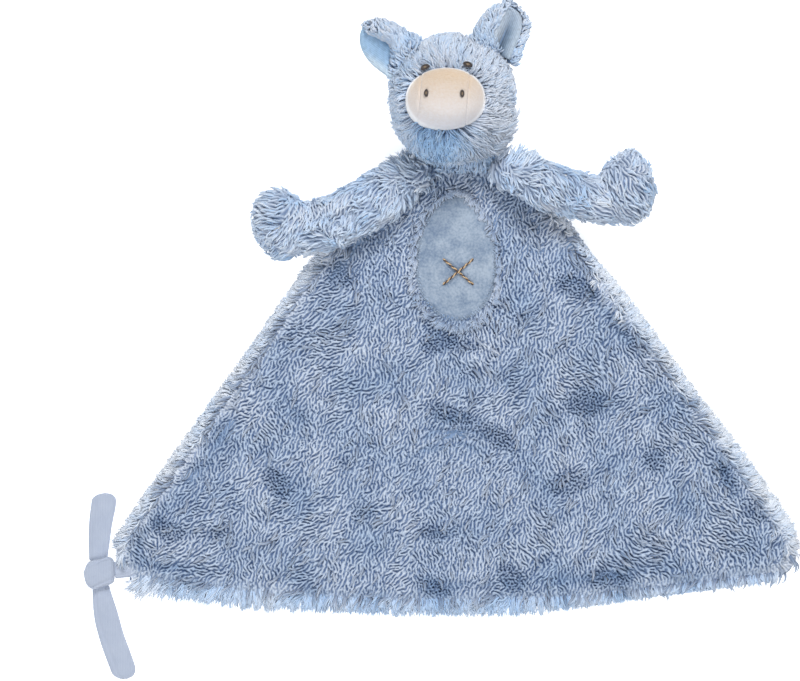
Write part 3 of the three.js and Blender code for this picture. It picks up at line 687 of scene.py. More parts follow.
# They take the pile's paler copy, with painted light.
add_locks("neck_pile", "blanket", rings, tint, painted_light_sherpa)

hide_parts("blanket_front")
for piece in (ground, neck_roll):
    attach(piece, "blanket")

# The tummy patch: an egg-shaped piece of the same sheared velour, let into the plush over a little padding.
# A thread sewn to and fro holds its edge down in a shallow dent.
edge_stitch_reach = 0.75 * mm
edge_stitch_inset = 1.5 * mm
edge_thread_radius = 0.28 * mm
edge_stitches = 58
patch_steps = 96
patch_seam = 0.93
velour_rise = patch_high[2] - patch_low[2]


def patch_line(grow, angles):
    """Points on the patch's edge, moved out by `grow`."""
    across = (patch_half[0] + grow) * np.cos(angles) * (1 - patch_narrowing * np.sin(angles))
    return np.column_stack([across, (patch_half[1] + grow) * np.sin(angles)]) + patch_middle[:2]


def patch_top(share):
    """The velour's height at a share of the way out: a low cushion, dented along its stitching."""
    dent = 0.45 * mm * np.exp(-((share - patch_seam) / 0.03) ** 2)
    return patch_low[2] + velour_rise * (0.46 + 0.54 * (1 - share ** 3)) - dent


patch_angles = np.linspace(0, 2 * math.pi, patch_steps, endpoint=False)
patch_rings = []
for share in (0.12, 0.25, 0.38, 0.5, 0.62, 0.72, 0.8, 0.86, 0.9, 0.93, 0.96, 0.985, 1):
    flat = patch_middle[:2] + (patch_line(0, patch_angles) - patch_middle[:2]) * share
    ripple = 0.12 * mm * drift(flat, 11 * mm, 8)
    patch_rings.append(np.column_stack([flat, patch_top(share) - 0.5 * mm * smooth(share, 0.96, 1) + ripple]))
patch_hem = np.full(patch_steps, patch_low[2] + 0.1 * mm)
patch_rings.append(np.column_stack([patch_line(0, patch_angles), patch_hem]))
patch_crown, patch_foot = ([(*patch_middle[:2], height)] for height in (patch_top(0), patch_low[2]))
patch = add_piece("tummy_velour", *skin([patch_crown, *patch_rings, patch_foot]), blue_velour)
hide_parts("tummy_patch")
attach(patch, "blanket")


def thread(line, radius, sides=6):
    """The points and faces of a round thread along a line, with rounded ends."""
    line = np.asarray(line, float)
    along = unit(np.gradient(line, axis=0))
    across = unit(np.cross(along, (0.13, 0.07, 1)))
    over = np.cross(across, along)
    angles = np.linspace(0, 2 * math.pi, sides, endpoint=False)
    turns = across[:, None] * np.cos(angles)[None, :, None] + over[:, None] * np.sin(angles)[None, :, None]
    shares = np.ones(len(line))
    shares[[0, -1]] = 0.55
    rings = list(line[:, None] + turns * (radius * shares)[:, None, None])
    return skin([[line[0] - along[0] * radius * 0.6]] + rings + [[line[-1] + along[-1] * radius * 0.6]])


def together(parts):
    """Several solids as the points and faces of one mesh."""
    points, faces = [], []
    for more, sides in parts:
        start = sum(len(p) for p in points)
        points.append(more)
        faces += [tuple(c + start for c in face) for face in sides]
    return np.concatenate(points), faces


def cotton(name, code, twist):
    """Mercerised sewing thread: smooth, a little glossy, its ply drawn as slanting lines, two to a twist."""
    material, tree, shader = start_material(name, 0.5, Sheen_Weight=0.2)
    where = add_node(tree, "ShaderNodeTexCoord").outputs["Object"]
    ply = add_node(tree, "ShaderNodeTexWave", {"Vector": where, "Scale": 1 / twist, "Distortion": 1.5},
                   bands_direction="DIAGONAL")
    dark = [v * 0.6 for v in linear(code)[:3]] + [1.0]
    colour = add_node(tree, "ShaderNodeMix", {0: ply.outputs["Fac"], 6: dark, 7: linear(code)},
                      data_type="RGBA")
    tree.links.new(colour.outputs[2], shader.inputs["Base Color"])
    return material


edge_thread = cotton("mercerised_thread_blue", "#a9bcd2", 3 * mm)
stitch_angles = np.linspace(0, 2 * math.pi, 4 * edge_stitches + 1)
zigzag = np.where(np.arange(len(stitch_angles)) // 2 % 2, 1, -1) * edge_stitch_reach
stitch_height = patch_top(patch_seam) + 0.3 * mm
stitch_points = [(*patch_line(-edge_stitch_inset + reach, np.array([angle]))[0], stitch_height)
                 for angle, reach in zip(stitch_angles, zigzag)]
stitching = add_piece("tummy_edge_thread", *thread(stitch_points, edge_thread_radius), edge_thread)
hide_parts("tummy_stitching")
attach(stitching, "blanket")

# The crossed stitches: two long hand stitches of a gold and a dark brown thread twisted together. They go
# down through the velour at their ends, and the second one passes over the first.
ply_radius = 0.3 * mm
ply_turns = 5.5
gold_thread = cotton("twisted_thread_gold", "#e8c597", 1.5 * mm)
brown_thread = cotton("twisted_thread_brown", "#54382c", 1.5 * mm)
for level in ("lower", "upper"):
    node = f"cross_stitch_{level}"
    low, high = np.array(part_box(node))
    slope = -1 if level == "lower" else 1
    t = np.linspace(0, 1, 56)
    middle = low + (high - low) / 2
    rest = patch_top(0.3) + 0.55 * mm
    hump = (0.5 if level == "lower" else 1.6) * mm
    centre_line = np.column_stack([
        low[0] + (high[0] - low[0]) * t,
        middle[1] + slope * (high[1] - low[1]) * (t - 0.5),
        rest - 0.9 * mm + (0.9 * mm + hump) * np.sin(math.pi * t) ** 0.5,
    ])
    for material, start in ((gold_thread, 0), (brown_thread, math.pi)):
        turn = start + 2 * math.pi * ply_turns * t
        swing = np.column_stack([-slope * np.sin(turn) * 0.64, np.sin(turn) * 0.77, np.cos(turn)])
        radius = ply_radius * (1.15 if material == gold_thread else 1)
        piece = add_piece(f"{material.name.split('_')[-1]}_stitch_{level}",
                          *thread(centre_line + swing * ply_radius * 0.85, radius, 8), material)
        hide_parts(node)
        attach(piece, "blanket")

# The head's cover: an egg of the same plush over polyester filling, with an opening for the snout to be sewn
# into. Its pile is combed out from the snout and is longer and smoother than the blanket's.
head_half = np.array([29.2, 30, 25.5]) * mm
head_middle = np.array([-2.4, 31.4, 25.0]) * mm
head_pile = 3.6 * mm
snout_half = np.array([19, 14.9]) * mm
snout_middle = head_middle[:2] - head_half[:2] * (0.1, 0.045)
snout_turn = 0.05
seam_slant = 0.08


def head_top(x, y, inside=0):
    """The height of the head's upper half over a point, `inside` its surface."""
    half = head_half - inside
    across = ((x - head_middle[0]) / half[0]) ** 2 + ((y - head_middle[1]) / half[1]) ** 2
    return head_middle[2] + half[2] * np.sqrt(np.maximum(0, 1 - across))


def snout_oval(shrink, share, angles):
    """The snout's outline, a little flatter along its lower edge."""
    rise = np.sin(angles)
    rise = np.sign(rise) * np.abs(rise) ** np.where(rise < 0, 0.78, 0.95)
    flat = np.column_stack([np.cos(angles), rise]) * (snout_half - shrink) * share
    return flat @ [[1, snout_turn], [-snout_turn, 1]] + snout_middle


head_angles = np.linspace(0, 2 * math.pi, 72, endpoint=False)
opening = snout_oval(1.4 * mm, 1, head_angles)
head_circle = np.column_stack([np.cos(head_angles), np.sin(head_angles)])
girth = head_middle[:2] + (head_half[:2] - head_pile) * head_circle
head_rings = []
for t in np.sin(np.linspace(0, math.pi / 2, 12)):
    flat = opening + (girth - opening) * t
    head_rings.append(np.column_stack([flat, head_top(*flat.T, head_pile)]))
for tilt in np.radians(np.arange(97, 180, 7)):
    flat = head_middle[:2] + (girth - head_middle[:2]) * math.sin(tilt)
    height = max(head_pile * 0.4, head_middle[2] + (head_half[2] - head_pile) * math.cos(tilt))
    head_rings.append(np.column_stack([flat, np.full(len(flat), height)]))
inner_rings = [head_middle + (ring - head_middle) * 0.985 for ring in head_rings[::-1]]
inner_foot, head_foot = ([(*head_middle[:2], head_pile * share)] for share in (0.5, 0.4))
head_ground = add_piece("head_ground", *skin([inner_foot, *inner_rings, *head_rings, head_foot]), knit)
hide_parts("head_cover")
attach(head_ground, "head")

# Combed out, the pile has few gaps to look into, so it is paler.
combed = pile("combed_sherpa_pile", "#8bb6e2", "#aed4f6", "#b9c5d8", "#e4e9f2")
hair_width = 0.95 * mm
hair_length = 8.6 * mm
hair_wave = 0.6 * mm
chin = snout_middle - (2.5 * mm, snout_half[1])
roots, up = sow(head_ground, per_mm2=2.4, dice=dice)
outward = roots - (*snout_middle, head_middle[2])
facing_out = ((roots - head_middle) * up).sum(1) > 0
shown = facing_out & (roots[:, 2] > head_pile * 0.5)
roots, up, outward = roots[shown], up[shown], outward[shown]
near_eye = np.zeros(len(roots))
for name in ("eye_left", "eye_right"):
    eye_at = np.mean(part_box(name), 0)[:2]
    below = (snout_middle - eye_at) / np.linalg.norm(snout_middle - eye_at)
    towards = np.clip((roots[:, :2] - eye_at) @ below, 0, 5 * mm)
    away = np.linalg.norm(roots[:, :2] - eye_at - towards[:, None] * below, axis=1)
    near_eye = np.maximum(near_eye, 1 - smooth(away, 1.3 * mm, 2.5 * mm))
lay = unit(np.column_stack([outward[:, :2], np.full(len(roots), -8 * mm)]))
lay = unit(lay + 0.25 * sway(roots, 16 * mm, (21, 22, 23)))
# The pile is clipped at the snout, round the eyes and at the right cheek, and left long on the jowls.
at_snout = 1 - smooth(np.linalg.norm(outward[:, :2] / snout_half, axis=1), 1, 1.5)
bearing = unit(outward[:, :2])
jowl = smooth(bearing @ (0.72, -0.69), 0.88, 0.98) + 0.4 * smooth(bearing @ (-0.7, -0.71), 0.9, 0.98)
cheek = smooth(bearing @ (1, -0.12), 0.88, 0.97)
length = hair_length * (1 - 0.35 * at_snout) * (1 - 0.42 * near_eye) * (1 + 0.8 * jowl - 0.38 * cheek)
lay = unit(lay + np.outer(jowl, (0.5, 0.1, 0)))
rise = (4.1 - 0.9 * at_snout - 1.3 * smooth(bearing[:, 1], 0.6, 0.9)) * (1 - 0.4 * near_eye) * mm
rings = curl_locks(roots, up, lay, length, rise, hair_width, hair_wave, tuft_size=7, dice=dice, stray=0.25)
# The tint is painted darker and bluer under the snout, as shade at the chin, and paler to the right, as
# painted light from that side.
from_chin = np.linalg.norm((roots[:, :2] - chin) / (12 * mm, 14 * mm), axis=1)
tint = 0.8 - 0.75 * (1 - smooth(from_chin, 0.3, 1.2)) + 0.12 * bearing[:, 0] + 0.1 * drift(roots, 12 * mm, 24)
tint += 0.12 * dice.normal(size=len(roots))
add_locks("head_fur", "head", rings, tint, combed)

# The filling: loose polyester fibre, blown in through the neck and the shoulders before they are sewn shut.
# It is white and matt, in small wads.
fibre, fibre_tree, fibre_shader = start_material("polyester_fibre_filling", 0.9)
fibre_where = add_node(fibre_tree, "ShaderNodeTexCoord").outputs["Object"]
fibre_wads = add_node(fibre_tree, "ShaderNodeTexNoise", {"Vector": fibre_where, "Scale": 1 / (2 * mm)})
fibre_colour = add_node(fibre_tree, "ShaderNodeMix", {0: fibre_wads.outputs["Fac"], 6: linear("#dcdcd6"),
                        7: linear("#f6f6f2")}, data_type="RGBA")
fibre_tree.links.new(fibre_colour.outputs[2], fibre_shader.inputs["Base Color"])


def fill(node, body):
    """The stuffing of a node as a soft, uneven wad that stays inside it."""
    points = np.array([v.co for v in frame["nodes"][node].data.vertices])
    faces = [tuple(f.vertices) for f in frame["nodes"][node].data.polygons]
    middle = points.mean(0)
    shrink = 0.3 * mm * (1 + drift(points, 9 * mm, 31)) / np.linalg.norm(points - middle, axis=1).clip(5 * mm)
    points -= (points - middle) * shrink[:, None]
    piece = add_piece(node.replace("stuffing", "filling"), points, faces, fibre)
    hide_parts(node)
    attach(piece, body)


fill("head_stuffing", "head")

# The snout: three panels of cream sheared velour, seamed side by side, filled firmly and sewn into the head.
# Each seam is a fine dent. Its colour runs from warm at the top to pale below, painted light as it falls on
# the snout, with a painted white highlight round the rim.
snout_reach = 64 * mm
snout_root = head_middle[2] + head_half[2] * 0.55
snout_power = 2 / 2.7
snout_seams = [snout_middle[0] + snout_half[0] * share for share in (-0.66, 0.56)]
seam_depth = 0.5 * mm
seam_width = 0.5 * mm
velour_wall = 1.1 * mm


def snout_ring(share, height, angles):
    """The snout's outline at a height, at a share of its full size."""
    return np.column_stack([snout_oval(0, share, angles), np.full(len(angles), height)])


cream, cream_tree, cream_shader = start_material(
    "sheared_velour_cream", 0.85, Sheen_Weight=0.7, Sheen_Roughness=0.3)
cream_where = add_node(cream_tree, "ShaderNodeTexCoord").outputs["Object"]
cream_axes = add_node(cream_tree, "ShaderNodeSeparateXYZ", {"Vector": cream_where})
cream_nap = add_node(cream_tree, "ShaderNodeTexNoise", {"Vector": cream_where, "Scale": 1 / (1.1 * mm)})
# Painted light: warm at the top and pale below, mixed with the nap's grain.
cream_painted_light_ramp = add_node(cream_tree, "ShaderNodeMapRange", {
    "Value": cream_axes.outputs["Y"], "From Min": float(snout_middle[1] - snout_half[1]),
    "From Max": float(snout_middle[1] + snout_half[1] * 0.75)})
cream_painted_light_and_nap = add_node(cream_tree, "ShaderNodeMix", {
    0: 0.3, 2: cream_painted_light_ramp.outputs[0], 3: cream_nap.outputs["Fac"]})
cream_painted_light_colour = add_node(cream_tree, "ShaderNodeMix", {0: cream_painted_light_and_nap.outputs[0], 6: linear("#ebeef7"),
                        7: linear("#cdb08b")}, data_type="RGBA")
cream_place = add_node(cream_tree, "ShaderNodeMapping", {
    "Vector": cream_where, "Location": (*(-snout_middle / snout_half), 0), "Scale": (*(1 / snout_half), 0)})
cream_reach = add_node(cream_tree, "ShaderNodeVectorMath", {0: cream_place.outputs["Vector"]},
                       operation="LENGTH")
# Painted highlight: white round the snout's rim.
cream_painted_highlight_rim = add_node(cream_tree, "ShaderNodeMapRange", {
    "Value": cream_reach.outputs["Value"], "From Min": 0.93, "From Max": 0.98})
cream_with_painted_highlight = add_node(cream_tree, "ShaderNodeMix", {0: cream_painted_highlight_rim.outputs[0], 6: cream_painted_light_colour.outputs[2],
                      7: linear("#f6f5f6")}, data_type="RGBA")
cream_bump = add_node(cream_tree, "ShaderNodeBump", {"Height": cream_nap.outputs["Fac"], "Distance": 0.6 * mm,
                      "Strength": 0.6})
cream_tree.links.new(cream_with_painted_highlight.outputs[2], cream_shader.inputs["Base Color"])
cream_tree.links.new(cream_bump.outputs["Normal"], cream_shader.inputs["Normal"])

snout_angles = np.linspace(0, 2 * math.pi, 96, endpoint=False)
snout_rings = [[(*snout_middle, snout_reach)]]
for tilt in np.linspace(0, math.pi / 2, 22)[1:]:
    height = snout_root + (snout_reach - snout_root) * math.cos(tilt) ** snout_power
    snout_rings.append(snout_ring(math.sin(tilt) ** snout_power, height, snout_angles))
for height in np.linspace(snout_root, head_middle[2] + 6 * mm, 8)[1:]:
    snout_rings.append(snout_ring(1, height, snout_angles))
snout_points, snout_faces = skin(snout_rings)


def slit(panel, across, facing=1, **settings):
    """Cuts a panel's mesh along a plane that leans as the snout's seams do."""
    everything = panel.verts[:] + panel.edges[:] + panel.faces[:]
    bmesh.ops.bisect_plane(panel, geom=everything, plane_co=(across, snout_middle[1], 0),
                           plane_no=(facing, -facing * seam_slant, 0), **settings)


panels = (("left", None, snout_seams[0]), ("front", *snout_seams), ("right", snout_seams[1], None))
for side, start, end in panels:
    cut = bmesh.new()
    made = [cut.verts.new(p) for p in snout_points]
    for face in snout_faces:
        cut.faces.new([made[c] for c in face])
    for seam in snout_seams:
        for offset in (-2.4, -1.2, -0.6, 0.6, 1.2, 2.4):
            slit(cut, seam + offset * seam_width)
    for limit, facing in ((start, -1), (end, 1)):
        if limit is not None:
            slit(cut, limit, facing, clear_outer=True)
    cut.normal_update()
    for vert in cut.verts:
        across = vert.co.x - (vert.co.y - snout_middle[1]) * seam_slant
        near = min(abs(across - seam) for seam in snout_seams) / seam_width
        vert.co -= vert.normal * seam_depth * math.exp(-near ** 2)
    cut.verts.index_update()
    points = [tuple(vert.co) for vert in cut.verts]
    inward = [vert.co - vert.normal * velour_wall for vert in cut.verts]
    faces = [tuple(vert.index for vert in face.verts) for face in cut.faces]
    rim = [edge for edge in cut.edges if edge.is_boundary]
    count = len(points)
    faces += [tuple(corner + count for corner in face[::-1]) for face in faces]
    for edge in rim:
        loop = edge.link_loops[0]
        here, there = loop.vert.index, loop.link_loop_next.vert.index
        faces.append((there, here, here + count, there + count))
    cut.free()
    panel = add_piece(f"snout_{side}_velour", points + [tuple(p) for p in inward], faces, cream)
    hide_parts(f"snout_{side}_panel")
    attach(panel, "head")

# The face: eyes and nostrils embroidered in rings of satin stitch round a paler middle.
# The stitches lie side by side, each one pulled down at its ends.
stitch_radius = 0.2 * mm
dark_thread = cotton("satin_stitch_dark", "#4d4340", 1.2 * mm)
beige_thread = cotton("satin_stitch_beige", "#a58f73", 1.2 * mm)


def lie_of(node):
    """The middle of a flat pad, its two half sizes along it and the unit axes, longest first and up last."""
    points = np.array([v.co for v in frame["nodes"][node].data.vertices])
    middle = points.mean(0)
    axes = np.linalg.svd(points - middle, full_matrices=False)[2]
    axes[2] *= np.sign(axes[2, 2])
    return middle, np.abs((points - middle) @ axes.T).max(0), axes


def embroider(node, count, hole):
    """An eye or a nostril: dark satin stitches out from a hole, and paler ones across it."""
    middle, half, axes = lie_of(node)
    parts = []
    for angle in np.linspace(0, 2 * math.pi, count, endpoint=False):
        ray = axes[0] * half[0] * math.cos(angle) + axes[1] * half[1] * math.sin(angle)
        line = [middle + ray * share + axes[2] * lift for share, lift in (
            (hole, -0.1 * mm), ((hole * 2 + 1) / 3, 0.3 * mm), ((hole + 2) / 3, 0.3 * mm), (1.04, -0.3 * mm))]
        parts.append(thread(line, stitch_radius))
    ring = add_piece(f"{node}_ring", *together(parts), dark_thread)
    parts = []
    for share in np.linspace(-0.8, 0.8, 5):
        reach = axes[1] * half[1] * hole * math.sqrt(1 - share ** 2) * 1.2
        at = middle + axes[0] * half[0] * hole * share
        parts.append(thread([at - reach, at + axes[2] * 0.12 * mm, at + reach], stitch_radius))
    core = add_piece(f"{node}_middle", *together(parts), beige_thread)
    for piece in (ring, core):
        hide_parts(node)
        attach(piece, "head")


for side in ("left", "right"):
    embroider(f"eye_{side}", count=30, hole=0.34)
    embroider(f"nostril_{side}", count=20, hole=0.4)

# The ears: a plush back and a velour lining, turned through and sewn shut in the head's seam. The edge to the
# crown's side is folded over, so the plush shows in front there, with the lining's hollow beside it.
ear_root = -4 * mm
ear_wall = 1.1 * mm
ear_drop = 2 * mm
fold_radius = 2.4 * mm
lining_wall = 0.8 * mm
lining_lift = 1.4 * mm
lining_rib = 0.85 * mm
ear_fur_length = 4.6 * mm
band_spacing = 0.314  # how far apart Blender's wave texture has its bands at scale 1


def ribbed_velour(name, stops, tip_code, pivot, tipward, outward):
    """The ears' velour: fine ribs of nap that run to the tip. stops are its colours at shares of the way from
    the crown's side to the outer edge, with painted shade dark in the hollow beside the fold and painted
    light pale on the raised roll and the rim. They fade to one colour at the tip."""
    material, tree, shader = start_material(name, 0.85, Sheen_Weight=0.5, Sheen_Roughness=0.4)
    where = add_node(tree, "ShaderNodeTexCoord").outputs["Object"]
    across = add_node(tree, "ShaderNodeVectorMath", {0: where, 1: tuple(outward)}, operation="DOT_PRODUCT")
    middle = float(pivot @ outward)
    place = add_node(tree, "ShaderNodeMapRange", {
        "Value": across.outputs["Value"], "From Min": middle - 12 * mm, "From Max": middle + 12 * mm})
    ramp = add_node(tree, "ShaderNodeValToRGB", {"Fac": place.outputs[0]})
    while len(ramp.color_ramp.elements) < len(stops):
        ramp.color_ramp.elements.new(0.5)
    for element, (share, code) in zip(ramp.color_ramp.elements, stops):
        element.position, element.color = share, linear(code)
    phase = add_node(tree, "ShaderNodeCombineXYZ", {"X": across.outputs["Value"]})
    ribs = add_node(tree, "ShaderNodeTexWave", {
        "Vector": phase.outputs[0], "Scale": band_spacing / lining_rib})
    tone = add_node(tree, "ShaderNodeTexNoise", {"Vector": where, "Scale": 1 / (1.6 * mm), "Detail": 3.0})
    share = add_node(tree, "ShaderNodeMix", {0: 0.75, 2: ribs.outputs["Fac"], 3: tone.outputs["Fac"]})
    shade = add_node(tree, "ShaderNodeMapRange", {
        "Value": share.outputs[0], "From Min": 0.3, "From Max": 0.7, "To Min": 0.78, "To Max": 1.12})
    along = add_node(tree, "ShaderNodeVectorMath", {0: where, 1: tuple(tipward)}, operation="DOT_PRODUCT")
    tipped = add_node(tree, "ShaderNodeMapRange", {
        "Value": along.outputs["Value"], "From Min": float(pivot @ tipward) + 8 * mm,
        "From Max": float(pivot @ tipward) + 17 * mm, "To Max": 0.85})
    faded = add_node(tree, "ShaderNodeMix", {
        0: tipped.outputs[0], 6: ramp.outputs["Color"], 7: linear(tip_code)}, data_type="RGBA")
    colour = add_node(tree, "ShaderNodeVectorMath", {0: faded.outputs[2], "Scale": shade.outputs[0]},
                      operation="SCALE")
    bump = add_node(tree, "ShaderNodeBump", {
        "Height": ribs.outputs["Fac"], "Distance": 0.25 * mm, "Strength": 0.6})
    tree.links.new(colour.outputs[0], shader.inputs["Base Color"])
    tree.links.new(bump.outputs["Normal"], shader.inputs["Normal"])
    return material


def slab(grid, thickness):
    """The points and faces of a sheet of that thickness, its front on a grid of points."""
    normals = unit(np.cross(np.gradient(grid, axis=0), np.gradient(grid, axis=1)))
    rows, columns = grid.shape[:2]
    front = np.arange(rows * columns).reshape(rows, columns)
    back = front + rows * columns
    faces = []
    for r in range(rows - 1):
        for c in range(columns - 1):
            faces.append((front[r, c], front[r + 1, c], front[r + 1, c + 1], front[r, c + 1]))
            faces.append((back[r, c], back[r, c + 1], back[r + 1, c + 1], back[r + 1, c]))
    rim = [(r, 0) for r in range(rows)]
    rim += [(rows - 1, c) for c in range(1, columns)]
    rim += [(r, columns - 1) for r in range(rows - 2, -1, -1)]
    rim += [(0, c) for c in range(columns - 2, 0, -1)]
    for here, there in zip(rim, rim[1:] + rim[:1]):
        faces.append((front[here], back[here], back[there], front[there]))
    points = np.concatenate([grid.reshape(-1, 3), (grid - normals * thickness).reshape(-1, 3)])
    return points, [tuple(int(c) for c in face) for face in faces]


def leaf(share, widest, fullness):
    """How much of an ear's half width is left at a share of its length. It narrows from `widest` on, and a
    fuller tip stays wide for longer."""
    return (1 - np.clip((share - widest) / (1 - widest), 0, 1) ** fullness) ** (1 / fullness)


def joint_of(name):
    """The frame's joint of that name."""
    return next(joint for joint in frame["joints"] if joint["name"] == name)


def add_ear(side, outer_side, ear_length, outer, outer_fullness, crown, crown_fullness, shown_from,
            cover_curve, roll, hollow, border, stops, tip_code):
    """One ear. outer and crown are its half widths on each side, and shown_from is where the fold stops. roll
    is the height of the lining's soft ridge beside it, hollow the depth next to that, and border how much
    pile frames the tip."""
    joint = joint_of(f"ear_{side}_fold")
    pivot = np.array(joint["pos_m"])
    tipward = np.array([-joint["axis"][1], joint["axis"][0], 0])
    outward = np.array([-tipward[1], tipward[0], 0]) * outer_side
    lift = np.array([0, 0, 1])

    def place(s, o, z):
        return pivot + tipward * s + outward * o + lift * (z - ear_drop)

    def cover_reach(share):
        at_root = cover_curve * np.maximum(0, 0.46 - share) ** 2
        return shown_from * leaf(np.clip(share, 0, 1), 0.5, 2) + at_root

    back_rows, lining_rows = [], []
    for share in np.sin(np.linspace(0, math.pi / 2, 20)):
        s = ear_root + (ear_length - ear_root) * share
        out = outer * max(0.05, leaf(share, 0.3, outer_fullness))
        far = crown * max(0.05, leaf(share, 0.25, crown_fullness))
        fold = fold_radius * max(0.12, leaf(share, 0.4, 2.2))
        cup = 2.2 * mm * max(0.3, leaf(share, 0.5, 2))
        tip_lift = 1.6 * mm * smooth(share, 0.8, 1)
        edge = out - (1.1 * mm - border) * leaf(share, 0.5, 2)
        row = []
        for o in np.linspace(edge, fold - far, 9):
            row.append(place(s, o, cup * max(0, o / outer) ** 2 + tip_lift * 0.5))
        for angle in np.radians(np.arange(-65, -271, -25)):
            height = fold * (1 + math.sin(angle)) + tip_lift * 0.5
            row.append(place(s, fold - far + fold * math.cos(angle), height))
        cover = min(float(cover_reach(share)), out * 0.9)
        for blend in (0.35, 0.7, 1):
            row.append(place(s, fold - far + (cover - fold + far) * blend,
                             2 * fold + (lining_lift + 0.8 * mm - 2 * fold) * blend ** 1.5 + tip_lift * 0.5))
        back_rows.append(row)
        row = []
        out -= border * 0.6
        for o in np.linspace(out, -0.62 * crown, 25):
            rim = math.exp(-((out - o) / (1.6 * mm)) ** 2)
            height = cup * max(0, o / outer) ** 2 + lining_lift + 0.5 * mm * rim + tip_lift
            height += roll * math.exp(-((o - shown_from - 2.9 * mm) / (2.1 * mm)) ** 2) * leaf(share, 0.35, 2)
            height -= (
                hollow * math.exp(-((o - shown_from - 6.8 * mm) / (1.9 * mm)) ** 2) * leaf(share, 0.3, 2))
            height -= 1.3 * mm * math.exp(-((out - o) / (0.35 * mm)) ** 2)
            row.append(place(s + 0.3 * mm - border * max(0, share), o, height))
        lining_rows.append(row)
    flip = slice(None, None, -1) if outer_side > 0 else slice(None)
    ground = add_piece(f"ear_{side}_ground", *slab(np.array(back_rows)[:, flip], ear_wall), knit)
    lining = add_piece(f"ear_{side}_velour", *slab(np.array(lining_rows)[:, flip][:, ::-1], lining_wall),
                       ribbed_velour(f"ribbed_velour_{side}_ear", stops, tip_code, pivot, tipward, outward))
    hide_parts(f"ear_{side}_back")
    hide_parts(f"ear_{side}_lining")
    for piece, name in ((ground, "plush"), (lining, "ear_velour")):
        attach(piece, f"ear_{side}")

    roots, up = sow(ground, per_mm2=2.4, dice=dice)
    across = (roots - pivot) @ outward
    reach = ((roots - pivot) @ tipward - ear_root) / (ear_length - ear_root)
    height = roots[:, 2] - pivot[2] + ear_drop
    bare = outer * leaf(np.clip(reach, 0, 1), 0.3, outer_fullness) * (1 if border else 0.55)
    # Pile shows behind the ear, on its folded edge and on some of the rim.
    behind = (up[:, 2] < -0.3) & (height < 2 * mm) & (across < bare)
    from_axis = roots - np.array([place(0, fold_radius - crown, 1.0 * mm)])
    from_axis -= tipward * (from_axis @ tipward)[:, None]
    on_fold = ((from_axis * up).sum(1) > 0) & (up[:, 2] > -0.5) & (
        (height > 2.0 * mm) & (across < cover_reach(reach) + 1 * mm) | (across < fold_radius - crown))
    on_rim = (border > 0) & (up[:, 2] > 0) & (across > bare - 0.9 * mm)
    chosen = behind | on_fold | on_rim
    roots, up, reach, across = (v[chosen] for v in (roots, up, reach, across))
    splay = np.where(across > 3 * mm, 0.8 if border else -0.2, -0.45)
    lay = unit(tipward * (1 - 0.6 * smooth(reach, 0.7, 1))[:, None] + outward * splay[:, None]
               + 0.35 * sway(roots, 12 * mm, (41, 42, 43)))
    length = ear_fur_length * (1 - 0.72 * smooth(reach, 0.65, 0.95)) * np.where(across > 3 * mm, 0.8, 1)
    rings = curl_locks(roots, up, lay, length, rise=2.0 * mm, width=1.1 * mm, wave=0.5 * mm, tuft_size=6,
                       dice=dice)
    tint = 0.78 + 0.14 * dice.normal(size=len(roots)) - 0.2 * (1 - smooth(reach, 0.1, 0.5))
    add_locks(f"ear_{side}_fur", f"ear_{side}", rings, tint, combed)


# Painted shade and light on the linings: dark in the hollow and the fold's shadow, pale on the roll and the
# rim.
left_painted_shading = ((0.3, "#6f8fb0"), (0.46, "#6b8fb5"), (0.62, "#93b3d2"), (0.82, "#9dbbd8"), (0.93, "#c3d6e6"))
right_painted_shading = ((0.25, "#a9b9cb"), (0.4, "#ccd7e3"), (0.53, "#b9c8d8"), (0.6, "#5f758d"), (0.68, "#8196ad"),
               (0.82, "#b9c9d9"))
add_ear("left", outer_side=1, ear_length=20.6 * mm, outer=11.8 * mm, outer_fullness=2, crown=7.6 * mm,
        crown_fullness=1.9, shown_from=-3 * mm, cover_curve=60 * mm, roll=0.5 * mm, hollow=1.2 * mm, border=0,
        stops=left_painted_shading, tip_code="#9fbedb")
add_ear("right", outer_side=-1, ear_length=20.4 * mm, outer=10 * mm, outer_fullness=3, crown=8.6 * mm,
        crown_fullness=1.7, shown_from=-5 * mm, cover_curve=25 * mm, roll=2.8 * mm, hollow=2.6 * mm,
        border=1.8 * mm, stops=right_painted_shading, tip_code="#bccbdc")

# The arms: plush tubes closed at the paw, filled loosely at the shoulder and firmly in the paw. They are sewn
# into the ends of the neck seam and come down off the blanket to the table. Their pile is packed curls as on
# the blanket, with a few loose locks over it and more of them at the neck.
arm_pile = 2.4 * mm
arm_depth = 3.1 * mm


def curls_over(points, up, lay, seed):
    """Packed curls as on the blanket, on a curved surface: waves that run across the way the pile lies."""
    dice = np.random.default_rng(seed)
    curls = np.zeros(len(points))
    for wave in unit(dice.normal(size=(900, 3))):
        size = 2 * math.pi / (curl_pitch * dice.uniform(0.8, 1.35))
        share = np.exp(-(lay @ wave * size * curl_length / 4.4) ** 2 - (up @ wave / 0.35) ** 2)
        curls += share * np.sin(points @ wave * size + dice.uniform(0, 2 * math.pi))
    return 1 - ((1 - np.tanh(1.1 * curls / curls.std())) / 2) ** 1.2


def arm_lay(points, up, shoulder):
    """Which way an arm's pile lies: away from its shoulder and down, in whorls."""
    lay = unit((points - shoulder) * (1, 1, 0.4)) * 0.7 + np.array([0, -0.6, -0.1])
    lay += 0.6 * sway(points, 20 * mm, (51, 52, 53))
    lay += 0.4 * sway(points, 7 * mm, (55, 56, 57))
    return along_surface(lay, up)


